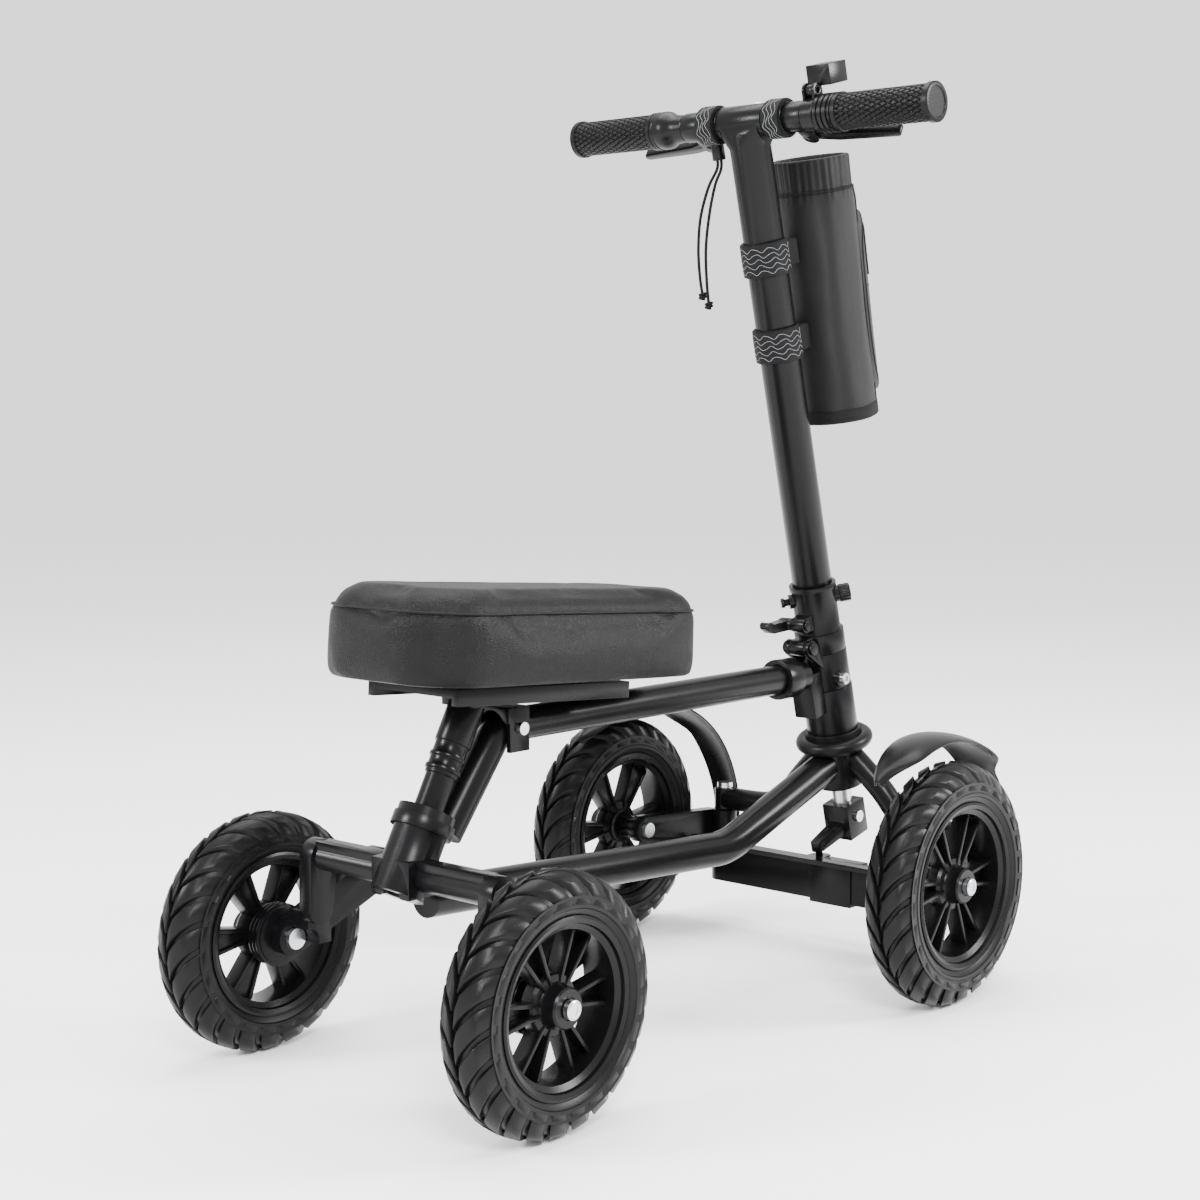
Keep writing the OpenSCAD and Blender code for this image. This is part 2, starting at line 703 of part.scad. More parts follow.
// A strap is a ring round the stem with a tab that runs to the back of the bag.
module strap(s) {
    r = stem_d / 2 + strap_gap;
    in_head() translate([0, 0, s - strap_w / 2]) {
        ring(r, r + strap_t, 0, strap_w);
        translate([r + 0.5, -13, 4]) cube([bag_u - r, 26, strap_w - 8]);
    }
}
module bag_straps() {
    color(rubber) {
        difference() {
            for (s = strap_s) strap(s);
            in_bag() translate([0, 0, -40]) cylinder(r = bag_r + 0.02, h = bag_l + 80);
        }
        for (side = [-1, 1]) on_side(side) in_bar() {
            difference() {
                along_y(pad_r + strap_gap + strap_t, 33, 53);
                along_y(pad_r + strap_gap, 30, 60);
            }
        }
    }
}
module bag_cord_lock() {
    color(rubber) in_bar() difference() {
        translate(lock_at) cylinder(r = 7, h = 22);
        along_y(pad_r + strap_gap + strap_t + press_gap, 30, 60);
    }
}
// The two runs of the drawstring, from under the lock to their knots
cord_left = [[0, 40.5, -36.3], [-1, 42, -46], [-5, 50, -62], [-12, 58, -92], [-21, 62, -126], [-29, 61, -160],
    [-35, 58, -184]];
cord_right = [[0, 45.5, -36.3], [1, 49, -46], [-3, 61, -64], [-11, 71, -94], [-20, 73, -126], [-28, 70, -154],
    [-33, 66, -174]];
module bag_cord() {
    color(rubber) in_bar() {
        swept(smooth(cord_left, 8), cord_r, 8, [1, 0, 0]);
        swept(smooth(cord_right, 8), cord_r, 8, [1, 0, 0]);
    }
}

// Seat
module seat_post() {
    color(black) in_post() {
        translate([0, 0, post_s0]) cylinder(r = post_r, h = post_s1 - post_s0 - 4);
        translate([0, 0, collar_s0]) cylinder(r = post_r + 1.5, h = 32);
        for (k = [0, 1]) translate([0, 0, collar_s0 + 4 + k * 12]) cylinder(r = post_r + 3, h = 4);
        translate([0, 0, collar_s0 + 31]) cylinder(r = post_r + 3, h = post_s1 - 4 - collar_s0 - 31);
    }
}
module seat_tilted() {
    placed() translate([seat_x0, 0, seat_z]) rotate([0, 4, 0]) children();
}
module seat_plate() {
    color(black) difference() {
        union() {
            seat_tilted() {
                box(60, 290, -58, 58, -seat_h - plate_t, -seat_h - 0.3);
                for (side = [-1, 1]) on_side(side) box(60, 290, 50, 58, -seat_h - plate_t - 7, -seat_h - plate_t + 1);
            }
            placed() box(80, 150, -21, 21, seat_bottom - 31, seat_bottom - 17);
        }
        in_post() translate([0, 0, 100]) cylinder(r = post_r + 3 + press_gap, h = post_s1 - 104 + press_gap);
        placed() translate([60, 0, crossbar_z]) rotate([0, 90, 0]) cylinder(r = crossbar_d / 2 + 4, h = 100);
    }
}
module seat_cushion() {
    color(rubber) seat_tilted() translate([0, 0, -seat_h]) linear_extrude(seat_h) hull() {
        for (side = [-1, 1]) on_side(side) {
            translate([54, seat_w / 2 - 54]) circle(r = 54);
            translate([seat_l - 44, seat_nose / 2 - 44]) circle(r = 44);
        }
    }
}

// Front knuckles and fenders
module knuckle_shape() {
    placed() difference() {
        union() {
            translate([kingpin_x, kingpin_y, barrel_z0]) cylinder(r = barrel_r, h = barrel_z1 - barrel_z0);
            hull() {
                translate([kingpin_x - 2, 0, barrel_z0 + 21]) along_y(19, arm_in - 3, arm_in + arm_t, $fn = 32);
                translate([wheelbase, 0, front_r]) along_y(15, arm_in - 3, arm_in + arm_t, $fn = 32);
            }
            translate([wheelbase, 0, front_r]) along_y(shoulder_r, arm_in, front_y - hub_in - 0.5);
            box(kingpin_x - steer_arm, kingpin_x, kingpin_y - 8, kingpin_y + 8,
                barrel_z0, barrel_z0 + steer_arm_t);
            intersection() {
                box(kingpin_x + 8, kingpin_x + 60, arm_in, arm_in + arm_t, barrel_z0 + 8, barrel_z0 + 36);
                translate([fender_at.x, 0, fender_at.y]) along_y(fender_r - fender_t - press_gap, 0, front_y);
            }
            translate([kingpin_x - steer_arm, kingpin_y, barrel_z0]) {
                cylinder(r = 8, h = steer_arm_t);
                cylinder(r = tie_pin_r, h = steer_arm_t + tie_t + 4);
            }
        }
        translate([kingpin_x, kingpin_y, 0]) cylinder(r = kingpin_r + run_gap, h = head_z);
        translate([wheelbase, 0, front_r]) along_y(axle_r + press_gap, 100, front_y);
    }
}
module knuckle_left() { color(black) knuckle_shape(); }
module knuckle_right() { color(black) mirror([0, 1, 0]) knuckle_shape(); }
module fender_shape() {
    placed() difference() {
        translate([fender_at.x, 0, fender_at.y]) rotate([90, 0, 0]) rotate(-8)
            rotate_extrude(angle = fender_angle) translate([fender_r - fender_t, -fender_y1])
            square([fender_t, fender_y1 - fender_y0]);
        knuckle_bulk();
    }
}
// The fender sits on the outside of the knuckle's arm.
module knuckle_bulk() {
    hull() {
        translate([kingpin_x - 2, 0, barrel_z0 + 21]) along_y(19, arm_in - 3, arm_in + arm_t, $fn = 32);
        translate([wheelbase, 0, front_r]) along_y(15, arm_in - 3, arm_in + arm_t, $fn = 32);
    }
    translate([kingpin_x, kingpin_y, barrel_z0 - 40]) cylinder(r = barrel_r + 1, h = 160);
}
module fender_left() { color(black) fender_shape(); }
module fender_right() { color(black) mirror([0, 1, 0]) fender_shape(); }

// Wheels, drawn about the Y axis with the hub's long side outwards
module rim_shape(d) {
    r = d / 2;
    difference() {
        union() {
            difference() {
                along_y(r, -rim_w / 2, rim_w / 2);
                along_y(r - rim_wall, -rim_w / 2 - 1, rim_w / 2 + 1);
            }
            along_y(hub_r, -hub_in, hub_out);
            along_y(hub_r + 9, -8, 10);
            for (k = [0 : spokes - 1]) rotate([0, k * 360 / spokes, 0])
                box(-9, 9, -7, 9, hub_r, r - rim_wall + 2);
        }
        along_y(axle_r + run_gap, -60, 60);
    }
}
module tyre_shape(d, rim_d) {
    w = tyre_w / 2;
    r = d / 2;
    rim = rim_d / 2 + press_gap;
    rotate([90, 0, 0]) rotate_extrude() polygon([[rim, -rim_w / 2 - 1], [rim + 10, -w], [r - 13, -w],
        [r - 4, -w + 8], [r, -w + 17], [r, w - 17], [r - 4, w - 8], [r - 13, w], [rim + 10, w],
        [rim, rim_w / 2 + 1]]);
}
module rear_wheel_at(side) {
    placed() translate([0, side * rear_y, rear_r]) on_side(side) children();
}
module front_wheel_at(side) {
    placed() translate([wheelbase, side * front_y, front_r]) on_side(side) children();
}
module rear_left_rim() { color(black) rear_wheel_at(1) rim_shape(rear_rim_d); }
module rear_right_rim() { color(black) rear_wheel_at(-1) rim_shape(rear_rim_d); }
module front_left_rim() { color(black) front_wheel_at(1) rim_shape(front_rim_d); }
module front_right_rim() { color(black) front_wheel_at(-1) rim_shape(front_rim_d); }
module rear_left_tyre() { color(rubber) rear_wheel_at(1) tyre_shape(rear_wheel_d, rear_rim_d); }
module rear_right_tyre() { color(rubber) rear_wheel_at(-1) tyre_shape(rear_wheel_d, rear_rim_d); }
module front_left_tyre() { color(rubber) front_wheel_at(1) tyre_shape(front_wheel_d, front_rim_d); }
module front_right_tyre() { color(rubber) front_wheel_at(-1) tyre_shape(front_wheel_d, front_rim_d); }
module front_axle(side) {
    color(steel) front_wheel_at(side) {
        along_y(axle_r, arm_in - 3 - front_y, hub_out + head_t);
        along_y(head_r, hub_out + 0.4, hub_out + head_t);
        along_y(head_r, arm_in - 8 - front_y, arm_in - 3 - front_y);
    }
}
module front_axle_left() { front_axle(1); }
module front_axle_right() { front_axle(-1); }

main_tube();
head_lug();
head_tube();
headset_ring();
front_stays();
front_beam();
rear_housing();
rear_arm_left();
rear_arm_right();
crossbar();
crossbar_clamps();
frame_bolts();
brake_drums();
rear_axles();
steerer_tube();
steerer_bearings();
steering_shaft();
pitman_bracket();
hinge_base();
fold_pin();
quick_release_lever();
lever_pin();
tie_bar();
column_tube();
column_knob();
column_spring_pin();
stem();
handlebar();
bar_fittings();
grips();
reflector();
light_bracket();
front_light();
lever_perches();
brake_lever_left();
brake_lever_right();
bag();
bag_straps();
bag_cord_lock();
bag_cord();
seat_post();
seat_plate();
seat_cushion();
knuckle_left();
knuckle_right();
fender_left();
fender_right();
rear_left_rim();
rear_left_tyre();
rear_right_rim();
rear_right_tyre();
front_left_rim();
front_left_tyre();
front_right_rim();
front_right_tyre();
front_axle_left();
front_axle_right();
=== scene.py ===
# Steerable knee scooter with a bottle bag: a black welded frame on four air tyres, a padded knee
# rest, and a folding, sliding column with a handlebar. Metres; X forward, Y to the left, Z up.
import json
import math
import bmesh
import bpy
from mathutils import Matrix, Vector, noise
from mathutils.bvhtree import BVHTree


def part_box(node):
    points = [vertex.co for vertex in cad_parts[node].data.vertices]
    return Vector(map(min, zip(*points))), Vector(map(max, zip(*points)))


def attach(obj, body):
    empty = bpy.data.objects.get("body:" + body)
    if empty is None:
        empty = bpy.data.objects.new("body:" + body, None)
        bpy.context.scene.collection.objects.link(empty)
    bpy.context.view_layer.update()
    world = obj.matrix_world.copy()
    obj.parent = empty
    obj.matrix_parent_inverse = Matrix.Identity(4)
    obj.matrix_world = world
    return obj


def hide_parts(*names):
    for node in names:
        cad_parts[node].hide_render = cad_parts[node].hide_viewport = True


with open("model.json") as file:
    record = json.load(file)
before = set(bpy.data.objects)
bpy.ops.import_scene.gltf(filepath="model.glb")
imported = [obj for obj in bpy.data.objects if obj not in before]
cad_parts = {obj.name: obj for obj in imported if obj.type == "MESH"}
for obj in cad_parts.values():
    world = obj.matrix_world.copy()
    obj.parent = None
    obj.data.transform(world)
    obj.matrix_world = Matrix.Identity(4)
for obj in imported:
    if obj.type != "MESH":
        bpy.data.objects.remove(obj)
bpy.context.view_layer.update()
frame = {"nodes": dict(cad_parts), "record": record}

bpy.ops.object.select_all(action="DESELECT")
MM = 0.001


# ---------------------------------------------------------------- studio
# A pale seamless floor and three soft lights. The camera stands behind the scooter on its right
# and looks forward over the knee rest, slightly down.
bpy.ops.object.camera_add(location=(-1.562, -1.351, 0.618))
camera = bpy.context.active_object
camera.rotation_euler = Vector((math.cos(0.722), math.sin(0.722), -math.tan(0.096))).to_track_quat(
    "-Z", "Y").to_euler()
camera.data.lens = 63.0
camera.data.sensor_width = 36.0
bpy.context.scene.camera = camera

bpy.ops.mesh.primitive_plane_add(size=14, location=(0, 0, -0.0005))
floor = bpy.context.active_object
floor.name = "studio_floor"
white = bpy.data.materials.new("pale_floor")
white.use_nodes = True
white.node_tree.nodes["Principled BSDF"].inputs["Base Color"].default_value = (0.97, 0.97, 0.97, 1)
white.node_tree.nodes["Principled BSDF"].inputs["Roughness"].default_value = 0.9
floor.data.materials.append(white)

world = bpy.data.worlds.new("studio")
bpy.context.scene.world = world
world.use_nodes = True
world.node_tree.nodes["Background"].inputs["Color"].default_value = (1, 1, 1, 1)
world.node_tree.nodes["Background"].inputs["Strength"].default_value = 1.7
for place, aim, size, watts in (
        ((-1.9, -2.2, 2.3), (0, 0, 0.4), 0.9, 150), ((-2.6, 1.2, 1.6), (0, 0, 0.4), 0.7, 110),
        ((1.6, -2.0, 1.5), (0, 0, 0.4), 0.7, 110), ((0.2, 0.3, 3.0), (0, 0, 0), 2.2, 130)):
    bpy.ops.object.light_add(type="AREA", location=place)
    lamp = bpy.context.active_object
    lamp.data.size = size
    lamp.data.energy = watts
    lamp.rotation_euler = (Vector(aim) - Vector(place)).to_track_quat("-Z", "Y").to_euler()


# ---------------------------------------------------------------- the bag's drawstring
# A limp black braided cord, 3.2 mm thick. Its two ends leave the cord lock under the left side
# of the bar and hang beside the bag, and each is tied off in a knot of its own.
RAKE = math.radians(14.2)
HEAD = Matrix.Translation((0.372, 0, 0.235)) @ Matrix.Rotation(-RAKE, 4, "Y")
BAR = HEAD @ Matrix.Translation((0, 0, 0.689))
body_of_node = {n: b for b, nodes in frame["record"]["behaviour"]["bodies"].items() for n in nodes}


def alone(piece):
    """Makes a piece the only selected one, and the active one."""
    bpy.ops.object.select_all(action="DESELECT")
    piece.select_set(True)
    bpy.context.view_layer.objects.active = piece


def start(name, mesh):
    """A new object in the scene, alone selected and active."""
    piece = bpy.data.objects.new(name, mesh)
    bpy.context.collection.objects.link(piece)
    alone(piece)
    return piece


def skin(mesh, rows, closed=True):
    """Faces between neighbouring rows of points, all the way round when the rows are closed."""
    for a, b in zip(rows, rows[1:]):
        for k in range(len(a) if closed else len(a) - 1):
            mesh.faces.new((a[k], a[(k + 1) % len(a)], b[(k + 1) % len(a)], b[k]))


def made(name, mesh, place=Matrix()):
    """A new object from a bmesh, with its faces turned the same way, put in its place."""
    bmesh.ops.recalc_face_normals(mesh, faces=mesh.faces)
    data = bpy.data.meshes.new(name)
    mesh.to_mesh(data)
    mesh.free()
    data.transform(place)
    return start(name, data)


def smooth_path(points, steps):
    """A Catmull-Rom line through the points, as the cord's solid in the CAD follows."""
    line = []
    for i in range(len(points) - 1):
        a, b = points[max(i - 1, 0)], points[i]
        c, d = points[i + 1], points[min(i + 2, len(points) - 1)]
        for k in range(steps):
            t = k / steps
            line.append(0.5 * (2 * b + (c - a) * t + (2 * a - 5 * b + 4 * c - d) * t * t
                               + (3 * b - a - 3 * c + d) * t ** 3))
    return line + [points[-1]]


def tube(name, line, radius, sides=5, caps=True):
    """A round tube along a line of points, as a mesh."""
    curve = bpy.data.curves.new(name, "CURVE")
    curve.dimensions = "3D"
    curve.bevel_depth = radius
    curve.bevel_resolution = sides
    curve.use_fill_caps = caps
    spline = curve.splines.new("POLY")
    spline.points.add(len(line) - 1)
    for point, place in zip(spline.points, line):
        point.co = (*place, 1)
    start(name, curve)
    bpy.ops.object.convert(target="MESH")
    piece = bpy.context.active_object
    bpy.ops.object.shade_smooth_by_angle(angle=math.radians(40))
    return piece


def nodes_of(material):
    """A material's node tree and its surface shader."""
    material.use_nodes = True
    tree = material.node_tree
    return tree, tree.nodes["Principled BSDF"]


def grainy(name, dark, light, rough, grain, height, spread=0.06, blotch=9.0, metal=0.0, coat=0.0,
           specular=0.12):
    """A finish on Object coordinates: colour and gloss vary in soft blotches over a fine grain."""
    material = bpy.data.materials.new(name)
    tree, shader = nodes_of(material)
    place = tree.nodes.new("ShaderNodeTexCoord")
    patch = tree.nodes.new("ShaderNodeTexNoise")
    patch.inputs["Scale"].default_value = blotch
    patch.inputs["Detail"].default_value = 4
    tint = tree.nodes.new("ShaderNodeMix")
    tint.data_type = "RGBA"
    tint.inputs["A"].default_value = (*dark, 1)
    tint.inputs["B"].default_value = (*light, 1)
    gloss = tree.nodes.new("ShaderNodeMapRange")
    gloss.inputs["To Min"].default_value = rough - spread
    gloss.inputs["To Max"].default_value = rough + spread
    fine = tree.nodes.new("ShaderNodeTexNoise")
    fine.inputs["Scale"].default_value = grain
    fine.inputs["Detail"].default_value = 3
    bump = tree.nodes.new("ShaderNodeBump")
    bump.inputs["Strength"].default_value = 0.6
    bump.inputs["Distance"].default_value = height
    for noise_node in (patch, fine):
        tree.links.new(place.outputs["Object"], noise_node.inputs["Vector"])
    tree.links.new(patch.outputs["Fac"], tint.inputs["Factor"])
    tree.links.new(tint.outputs["Result"], shader.inputs["Base Color"])
    tree.links.new(patch.outputs["Fac"], gloss.inputs["Value"])
    tree.links.new(gloss.outputs["Result"], shader.inputs["Roughness"])
    tree.links.new(fine.outputs["Fac"], bump.inputs["Height"])
    tree.links.new(bump.outputs["Normal"], shader.inputs["Normal"])
    shader.inputs["Metallic"].default_value = metal
    shader.inputs["Coat Weight"].default_value = coat
    shader.inputs["Specular IOR Level"].default_value = specular
    shader.inputs["Coat Roughness"].default_value = 0.3
    return material


def fit(piece, material, body, slot, *nodes):
    """Finishes a piece: its material, its body and the CAD nodes it replaces; the slot argument is
    not used.
    """
    piece.data.materials.clear()
    piece.data.materials.append(material)
    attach(piece, body)
    if nodes:
        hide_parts(*nodes)
    return piece


braid = grainy("braided_cord", (0.002, 0.002, 0.0022), (0.007, 0.007, 0.0075), 0.8, 900, 0.0006)
CORD_LEFT = [(0, 40.5, -36.3), (-1, 42, -46), (-5, 50, -62), (-12, 58, -92), (-21, 62, -126),
             (-29, 61, -160), (-35, 58, -184)]
CORD_RIGHT = [(0, 45.5, -36.3), (1, 49, -46), (-3, 61, -64), (-11, 71, -94), (-20, 73, -126),
              (-28, 70, -154), (-33, 66, -174)]
for strand, points in (("bag_cord_left", CORD_LEFT), ("bag_cord_right", CORD_RIGHT)):
    line = smooth_path([BAR @ (Vector(p) * MM) for p in points], 8)
    cord = tube(strand, line, 1.6 * MM)
    knot = tube(strand + "_knot", [line[-1] + Vector((math.cos(a) * 3.2, math.sin(a) * 3.2,
                                                     a * 0.5 - 3)) * MM
                                   for a in [k * 0.45 for k in range(29)]], 1.5 * MM)
    fit(cord, braid, "handlebar_stem", "webbing", "bag_cord")
    fit(knot, braid, "handlebar_stem", "webbing", "bag_cord")


# ---------------------------------------------------------------- tyres
# Four air tyres of black rubber, the front ones larger. Slanted blocks run from the crown over
# the shoulders, with half a pitch between the two sides; the sidewalls carry a raised ring.
def lathe(name, outline, place, steps=72, closed=False):
    """Spins an outline of (radius, height) in millimetres about Z, then puts it in its place."""
    mesh = bpy.data.meshes.new(name)
    count = len(outline)
    edges = [(i, i + 1) for i in range(count - 1)] + ([(count - 1, 0)] if closed else [])
    mesh.from_pydata([(r * MM, 0, z * MM) for r, z in outline], edges, [])
    piece = start(name, mesh)
    bpy.ops.object.mode_set(mode="EDIT")
    bpy.ops.mesh.select_all(action="SELECT")
    bpy.ops.mesh.spin(steps=steps, angle=2 * math.pi, center=(0, 0, 0), axis=(0, 0, 1))
    bpy.ops.mesh.select_all(action="SELECT")
    bpy.ops.mesh.remove_doubles(threshold=0.00001)
    bpy.ops.mesh.normals_make_consistent(inside=False)
    bpy.ops.object.mode_set(mode="OBJECT")
    mesh.transform(place)
    if place.determinant() < 0:
        mesh.flip_normals()
    bpy.ops.object.shade_smooth_by_angle(angle=math.radians(32))
    return piece


def joined(name, pieces):
    """One object out of several."""
    bpy.ops.object.select_all(action="DESELECT")
    for piece in pieces:
        piece.select_set(True)
    bpy.context.view_layer.objects.active = pieces[0]
    bpy.ops.object.join()
    pieces[0].name = name
    return pieces[0]


def apply_modifiers(piece):
    """Applies a piece's modifiers in their order."""
    alone(piece)
    for modifier in list(piece.modifiers):
        bpy.ops.object.modifier_apply(modifier=modifier.name)


def bevelled(piece, width, segments=2, angle=35):
    """Rounds a piece's edges and shades it smooth between them."""
    bevel = piece.modifiers.new("round", "BEVEL")
    bevel.width = width
    bevel.segments = segments
    bevel.limit_method = "ANGLE"
    bevel.angle_limit = math.radians(angle)
    apply_modifiers(piece)
    bpy.ops.object.shade_smooth_by_angle(angle=math.radians(angle))
    return piece


tyre_rubber = grainy("tyre_rubber", (0.002, 0.002, 0.0022), (0.005, 0.005, 0.0055), 0.36, 700,
                     0.0002, blotch=14, specular=0.13)


def crown(radius, y):
    """Radius of the tyre's body at a distance y from its middle."""
    return radius - 5.5 - 21 * (abs(y) / 27.5) ** 3.2


def tread_block(mesh, radius, side, at, pitch):
    """One slanted bar from near the crown's middle over the shoulder."""
    rings = []
    for step, y in enumerate((1.5, 6, 11, 16, 20.5, 24.5, 26.9)):
        half = pitch * (0.36 if step < 4 else 0.34) * (0.8 if step == 0 else 1)
        lead = at + 0.0115 * y - (0.05 if step == 0 else 0)
        rise = 5.5 if step < 5 else 4.2 - 1.6 * (step - 5)
        base = crown(radius, y) - 1.5
        ring = []
        for angle, r, out in ((lead - half * 1.12, base, 0), (lead - half, base + 1.5 + rise, 1),
                              (lead + half, base + 1.5 + rise, 1), (lead + half * 1.12, base, 0)):
            lateral = min(y + (0.5 if step == 6 else 0), 27.2)
            ring.append(mesh.verts.new((r * MM * math.cos(angle), r * MM * math.sin(angle),
                                        side * lateral * MM)))
        rings.append(ring)
    skin(mesh, rings, closed=False)
    mesh.faces.new(rings[0])
    mesh.faces.new(reversed(rings[-1]))


def tyre(node, rim_radius, blocks):
    """A tyre: its carcass with two rows of tread blocks, as one piece."""
    low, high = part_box(node)
    radius = (high[0] - low[0]) / 2 / MM
    middle = Vector([(a + b) / 2 for a, b in zip(low, high)])
    middle.z = radius * MM
    place = Matrix.Translation(middle) @ Matrix.Rotation(math.radians(-90), 4, "X")
    wall = [(rim_radius - 0.5, 21), (rim_radius + 2, 23.2), (rim_radius + 7, 25.4),
            (rim_radius + 8, 26.9), (rim_radius + 11, 27.2), (rim_radius + 12, 26.3),
            (radius - 19, 27.0), (crown(radius, 25.5), 25.5)]
    top = [(crown(radius, y), y) for y in (23, 20, 16, 12, 8, 4, 0)]
    half = wall + top
    body = lathe(node + "_carcass", half + [(r, -y) for r, y in reversed(half[:-1])], place, 96)
    mesh = bmesh.new()
    pitch = 2 * math.pi / blocks
    for k in range(blocks):
        tread_block(mesh, radius, 1, k * pitch, pitch)
        tread_block(mesh, radius, -1, (k + 0.5) * pitch, pitch)
    tread = bevelled(made(node + "_tread", mesh, place), 0.9 * MM, 1, 50)
    piece = joined(node + "_rubber", [body, tread])
    return fit(piece, tyre_rubber, body_of_node[node], "tyre", node)


for corner in ("rear_left", "rear_right"):
    tyre(corner + "_tyre", 76.5, 24)
for corner in ("front_left", "front_right"):
    tyre(corner + "_tyre", 84, 26)


# ---------------------------------------------------------------- rims
# Moulded black rims: a stepped ring that holds the tyre, a round hub, and six spokes, each of
# two thin ribs that spread towards the ring. The axle's silver bolt head sits in the hub.
moulded = grainy("moulded_plastic", (0.002, 0.002, 0.0022), (0.004, 0.004, 0.0045), 0.28, 1200,
                 0.0001, blotch=20, specular=0.14)


def bar_between(name, a, b, width, depth, place, taper=1.0):
    """A flat bar from a to b in the XY plane, in millimetres, with rounded edges."""
    bpy.ops.object.select_all(action="DESELECT")
    bpy.ops.mesh.primitive_cube_add(size=1)
    bar = bpy.context.active_object
    bar.name = name
    line = Vector(b) - Vector(a)
    for v in bar.data.vertices:
        share = v.co.x + 0.5
        across = v.co.y * width * (1 + (taper - 1) * share)
        along = Vector(a) + line * share
        side = Vector((-line.y, line.x, 0)).normalized() * across
        v.co = Vector((along.x + side.x, along.y + side.y, along.z + v.co.z * depth)) * MM
    bevelled(bar, 1.2 * MM, 2)
    bar.data.transform(place)
    if place.determinant() < 0:
        bar.data.flip_normals()
    return bar


def rim(node, tyre_node, out):
    """A rim: its ring, hub and six spokes; out is 1 on the left side and -1 on the right."""
    low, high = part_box(node)
    tyre_low, tyre_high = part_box(tyre_node)
    radius = (high[0] - low[0]) / 2 / MM
    middle = Vector(((low[0] + high[0]) / 2, (tyre_low[1] + tyre_high[1]) / 2,
                     (tyre_high[0] - tyre_low[0]) / 2))
    place = Matrix.Translation(middle) @ Matrix.Rotation(math.radians(-90 * out), 4, "X")
    ring = [(radius - 0.5, -22), (radius + 1.5, -24), (radius - 1, -25), (radius - 5, -23.5),
            (radius - 6, -20), (radius - 11, -17), (radius - 12.5, -8), (radius - 12.5, 8),
            (radius - 11, 17), (radius - 6, 20), (radius - 5, 23.5), (radius - 1, 25),
            (radius + 1.5, 24), (radius - 0.5, 22)]
    hub = [(6.3, -12.8), (17, -12.8), (19, -11), (19, -8), (27, -6), (28, -4), (28, 5), (26, 8),
           (20.5, 9), (19, 11), (18, 22), (16.5, 23.8), (10, 23.8), (9.6, 22.6), (6.3, 22.6)]
    pieces = [lathe(node + "_ring", ring, place, 96, closed=True),
              lathe(node + "_hub", hub, place, 48, closed=True)]
    for k in range(6):
        turn = place @ Matrix.Rotation(math.radians(60 * k), 4, "Z")
        for side in (-1, 1):
            pieces.append(bar_between(node + "_rib", (18, side * 4, 1), (radius - 9, side * 12, 1),
                                      4.0, 18, turn, 1.1))
        pieces.append(bar_between(node + "_web", (20, 0, -3), (radius - 12, 0, -3), 9, 5,
                                  turn, 2.4))
    piece = joined(node + "_moulding", pieces)
    return fit(piece, moulded, body_of_node[node], "trim_black", node)


rim("rear_left_rim", "rear_left_tyre", 1)
rim("rear_right_rim", "rear_right_tyre", -1)
rim("front_left_rim", "front_left_tyre", 1)
rim("front_right_rim", "front_right_tyre", -1)


# ---------------------------------------------------------------- bright steel
# The axles and their bolt heads, the frame bolts, the headset bearings, the steerer tube, the
# steering shaft and the hinge's bolt heads are zinc-plated or brushed steel.
bright = grainy("plated_steel", (0.50, 0.51, 0.53), (0.68, 0.69, 0.71), 0.28, 500, 0.0001,
                spread=0.08, blotch=40, metal=1.0, specular=0.5)
for node in ("frame_bolts", "rear_axles", "steerer_bearings", "steerer_tube", "steering_shaft",
             "front_axle_left", "front_axle_right"):
    frame["nodes"][node].data.materials.clear()
    frame["nodes"][node].data.materials.append(bright)


def bolt_head(name, place, body, radius=8.5):
    """A round bolt head with a chamfered rim and a hexagon socket."""
    head = lathe(name, [(0.01, 3.2), (radius * 0.42, 3.2), (radius * 0.5, 6.4), (radius * 0.8, 6.4),
                        (radius, 5.2), (radius, 0), (0.01, 0)], place, 36)
    return fit(head, bright, body, "steel")


for side in (-1, 1):
    bolt_head("hinge_bolt_left" if side > 0 else "hinge_bolt_right",
              HEAD @ Matrix.Translation(Vector((-8, side * 28.6, 78.5)) * MM)
              @ Matrix.Rotation(math.radians(-90 * side), 4, "X"), "steering", 6.3)
for corner, side in (("rear_left", 1), ("rear_right", -1), ("front_left", 1), ("front_right", -1)):
    low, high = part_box(corner + "_tyre")
    tall = (high[0] - low[0]) / 2
    head = Vector(((low[0] + high[0]) / 2, (low[1] + high[1]) / 2 + side * 0.0244, tall))
    owner = "frame" if corner.startswith("rear") else corner[6:] + "_knuckle"
    bolt_head(corner + "_axle_head", Matrix.Translation(head)
              @ Matrix.Rotation(math.radians(-90 * side), 4, "X"), owner)


# ---------------------------------------------------------------- frame tubes
# Round steel tubes, bent and welded, under a satin black powder coat: the main tube, the
# crossbar with its bent tail, and the two stays from the head lug to the front beam.
coat = grainy("satin_powder_coat", (0.002, 0.002, 0.0023), (0.004, 0.004, 0.0046), 0.26, 1500,
              0.00008, spread=0.05, blotch=11, coat=0.02)
SHIFT = -304    # from x measured forward of the rear axle to the frame's own x


def bent(points, radius):
    """The line of a bent tube through (x, z) points in millimetres, with bends of one radius."""
    line = [Vector((points[0][0] + SHIFT, 0, points[0][1]))]
    for before, here, after in zip(points, points[1:], points[2:]):
        p = Vector((here[0] + SHIFT, 0, here[1]))
        a = (p - Vector((before[0] + SHIFT, 0, before[1]))).normalized()
        b = (Vector((after[0] + SHIFT, 0, after[1])) - p).normalized()
        reach = radius * math.tan(a.angle(b) / 2)
        for k in range(13):
            t = k / 12
            line.append((1 - t) ** 2 * (p - a * reach) + 2 * t * (1 - t) * p
                        + t * t * (p + b * reach))
    line.append(Vector((points[-1][0] + SHIFT, 0, points[-1][1])))
    return [q * MM for q in line]


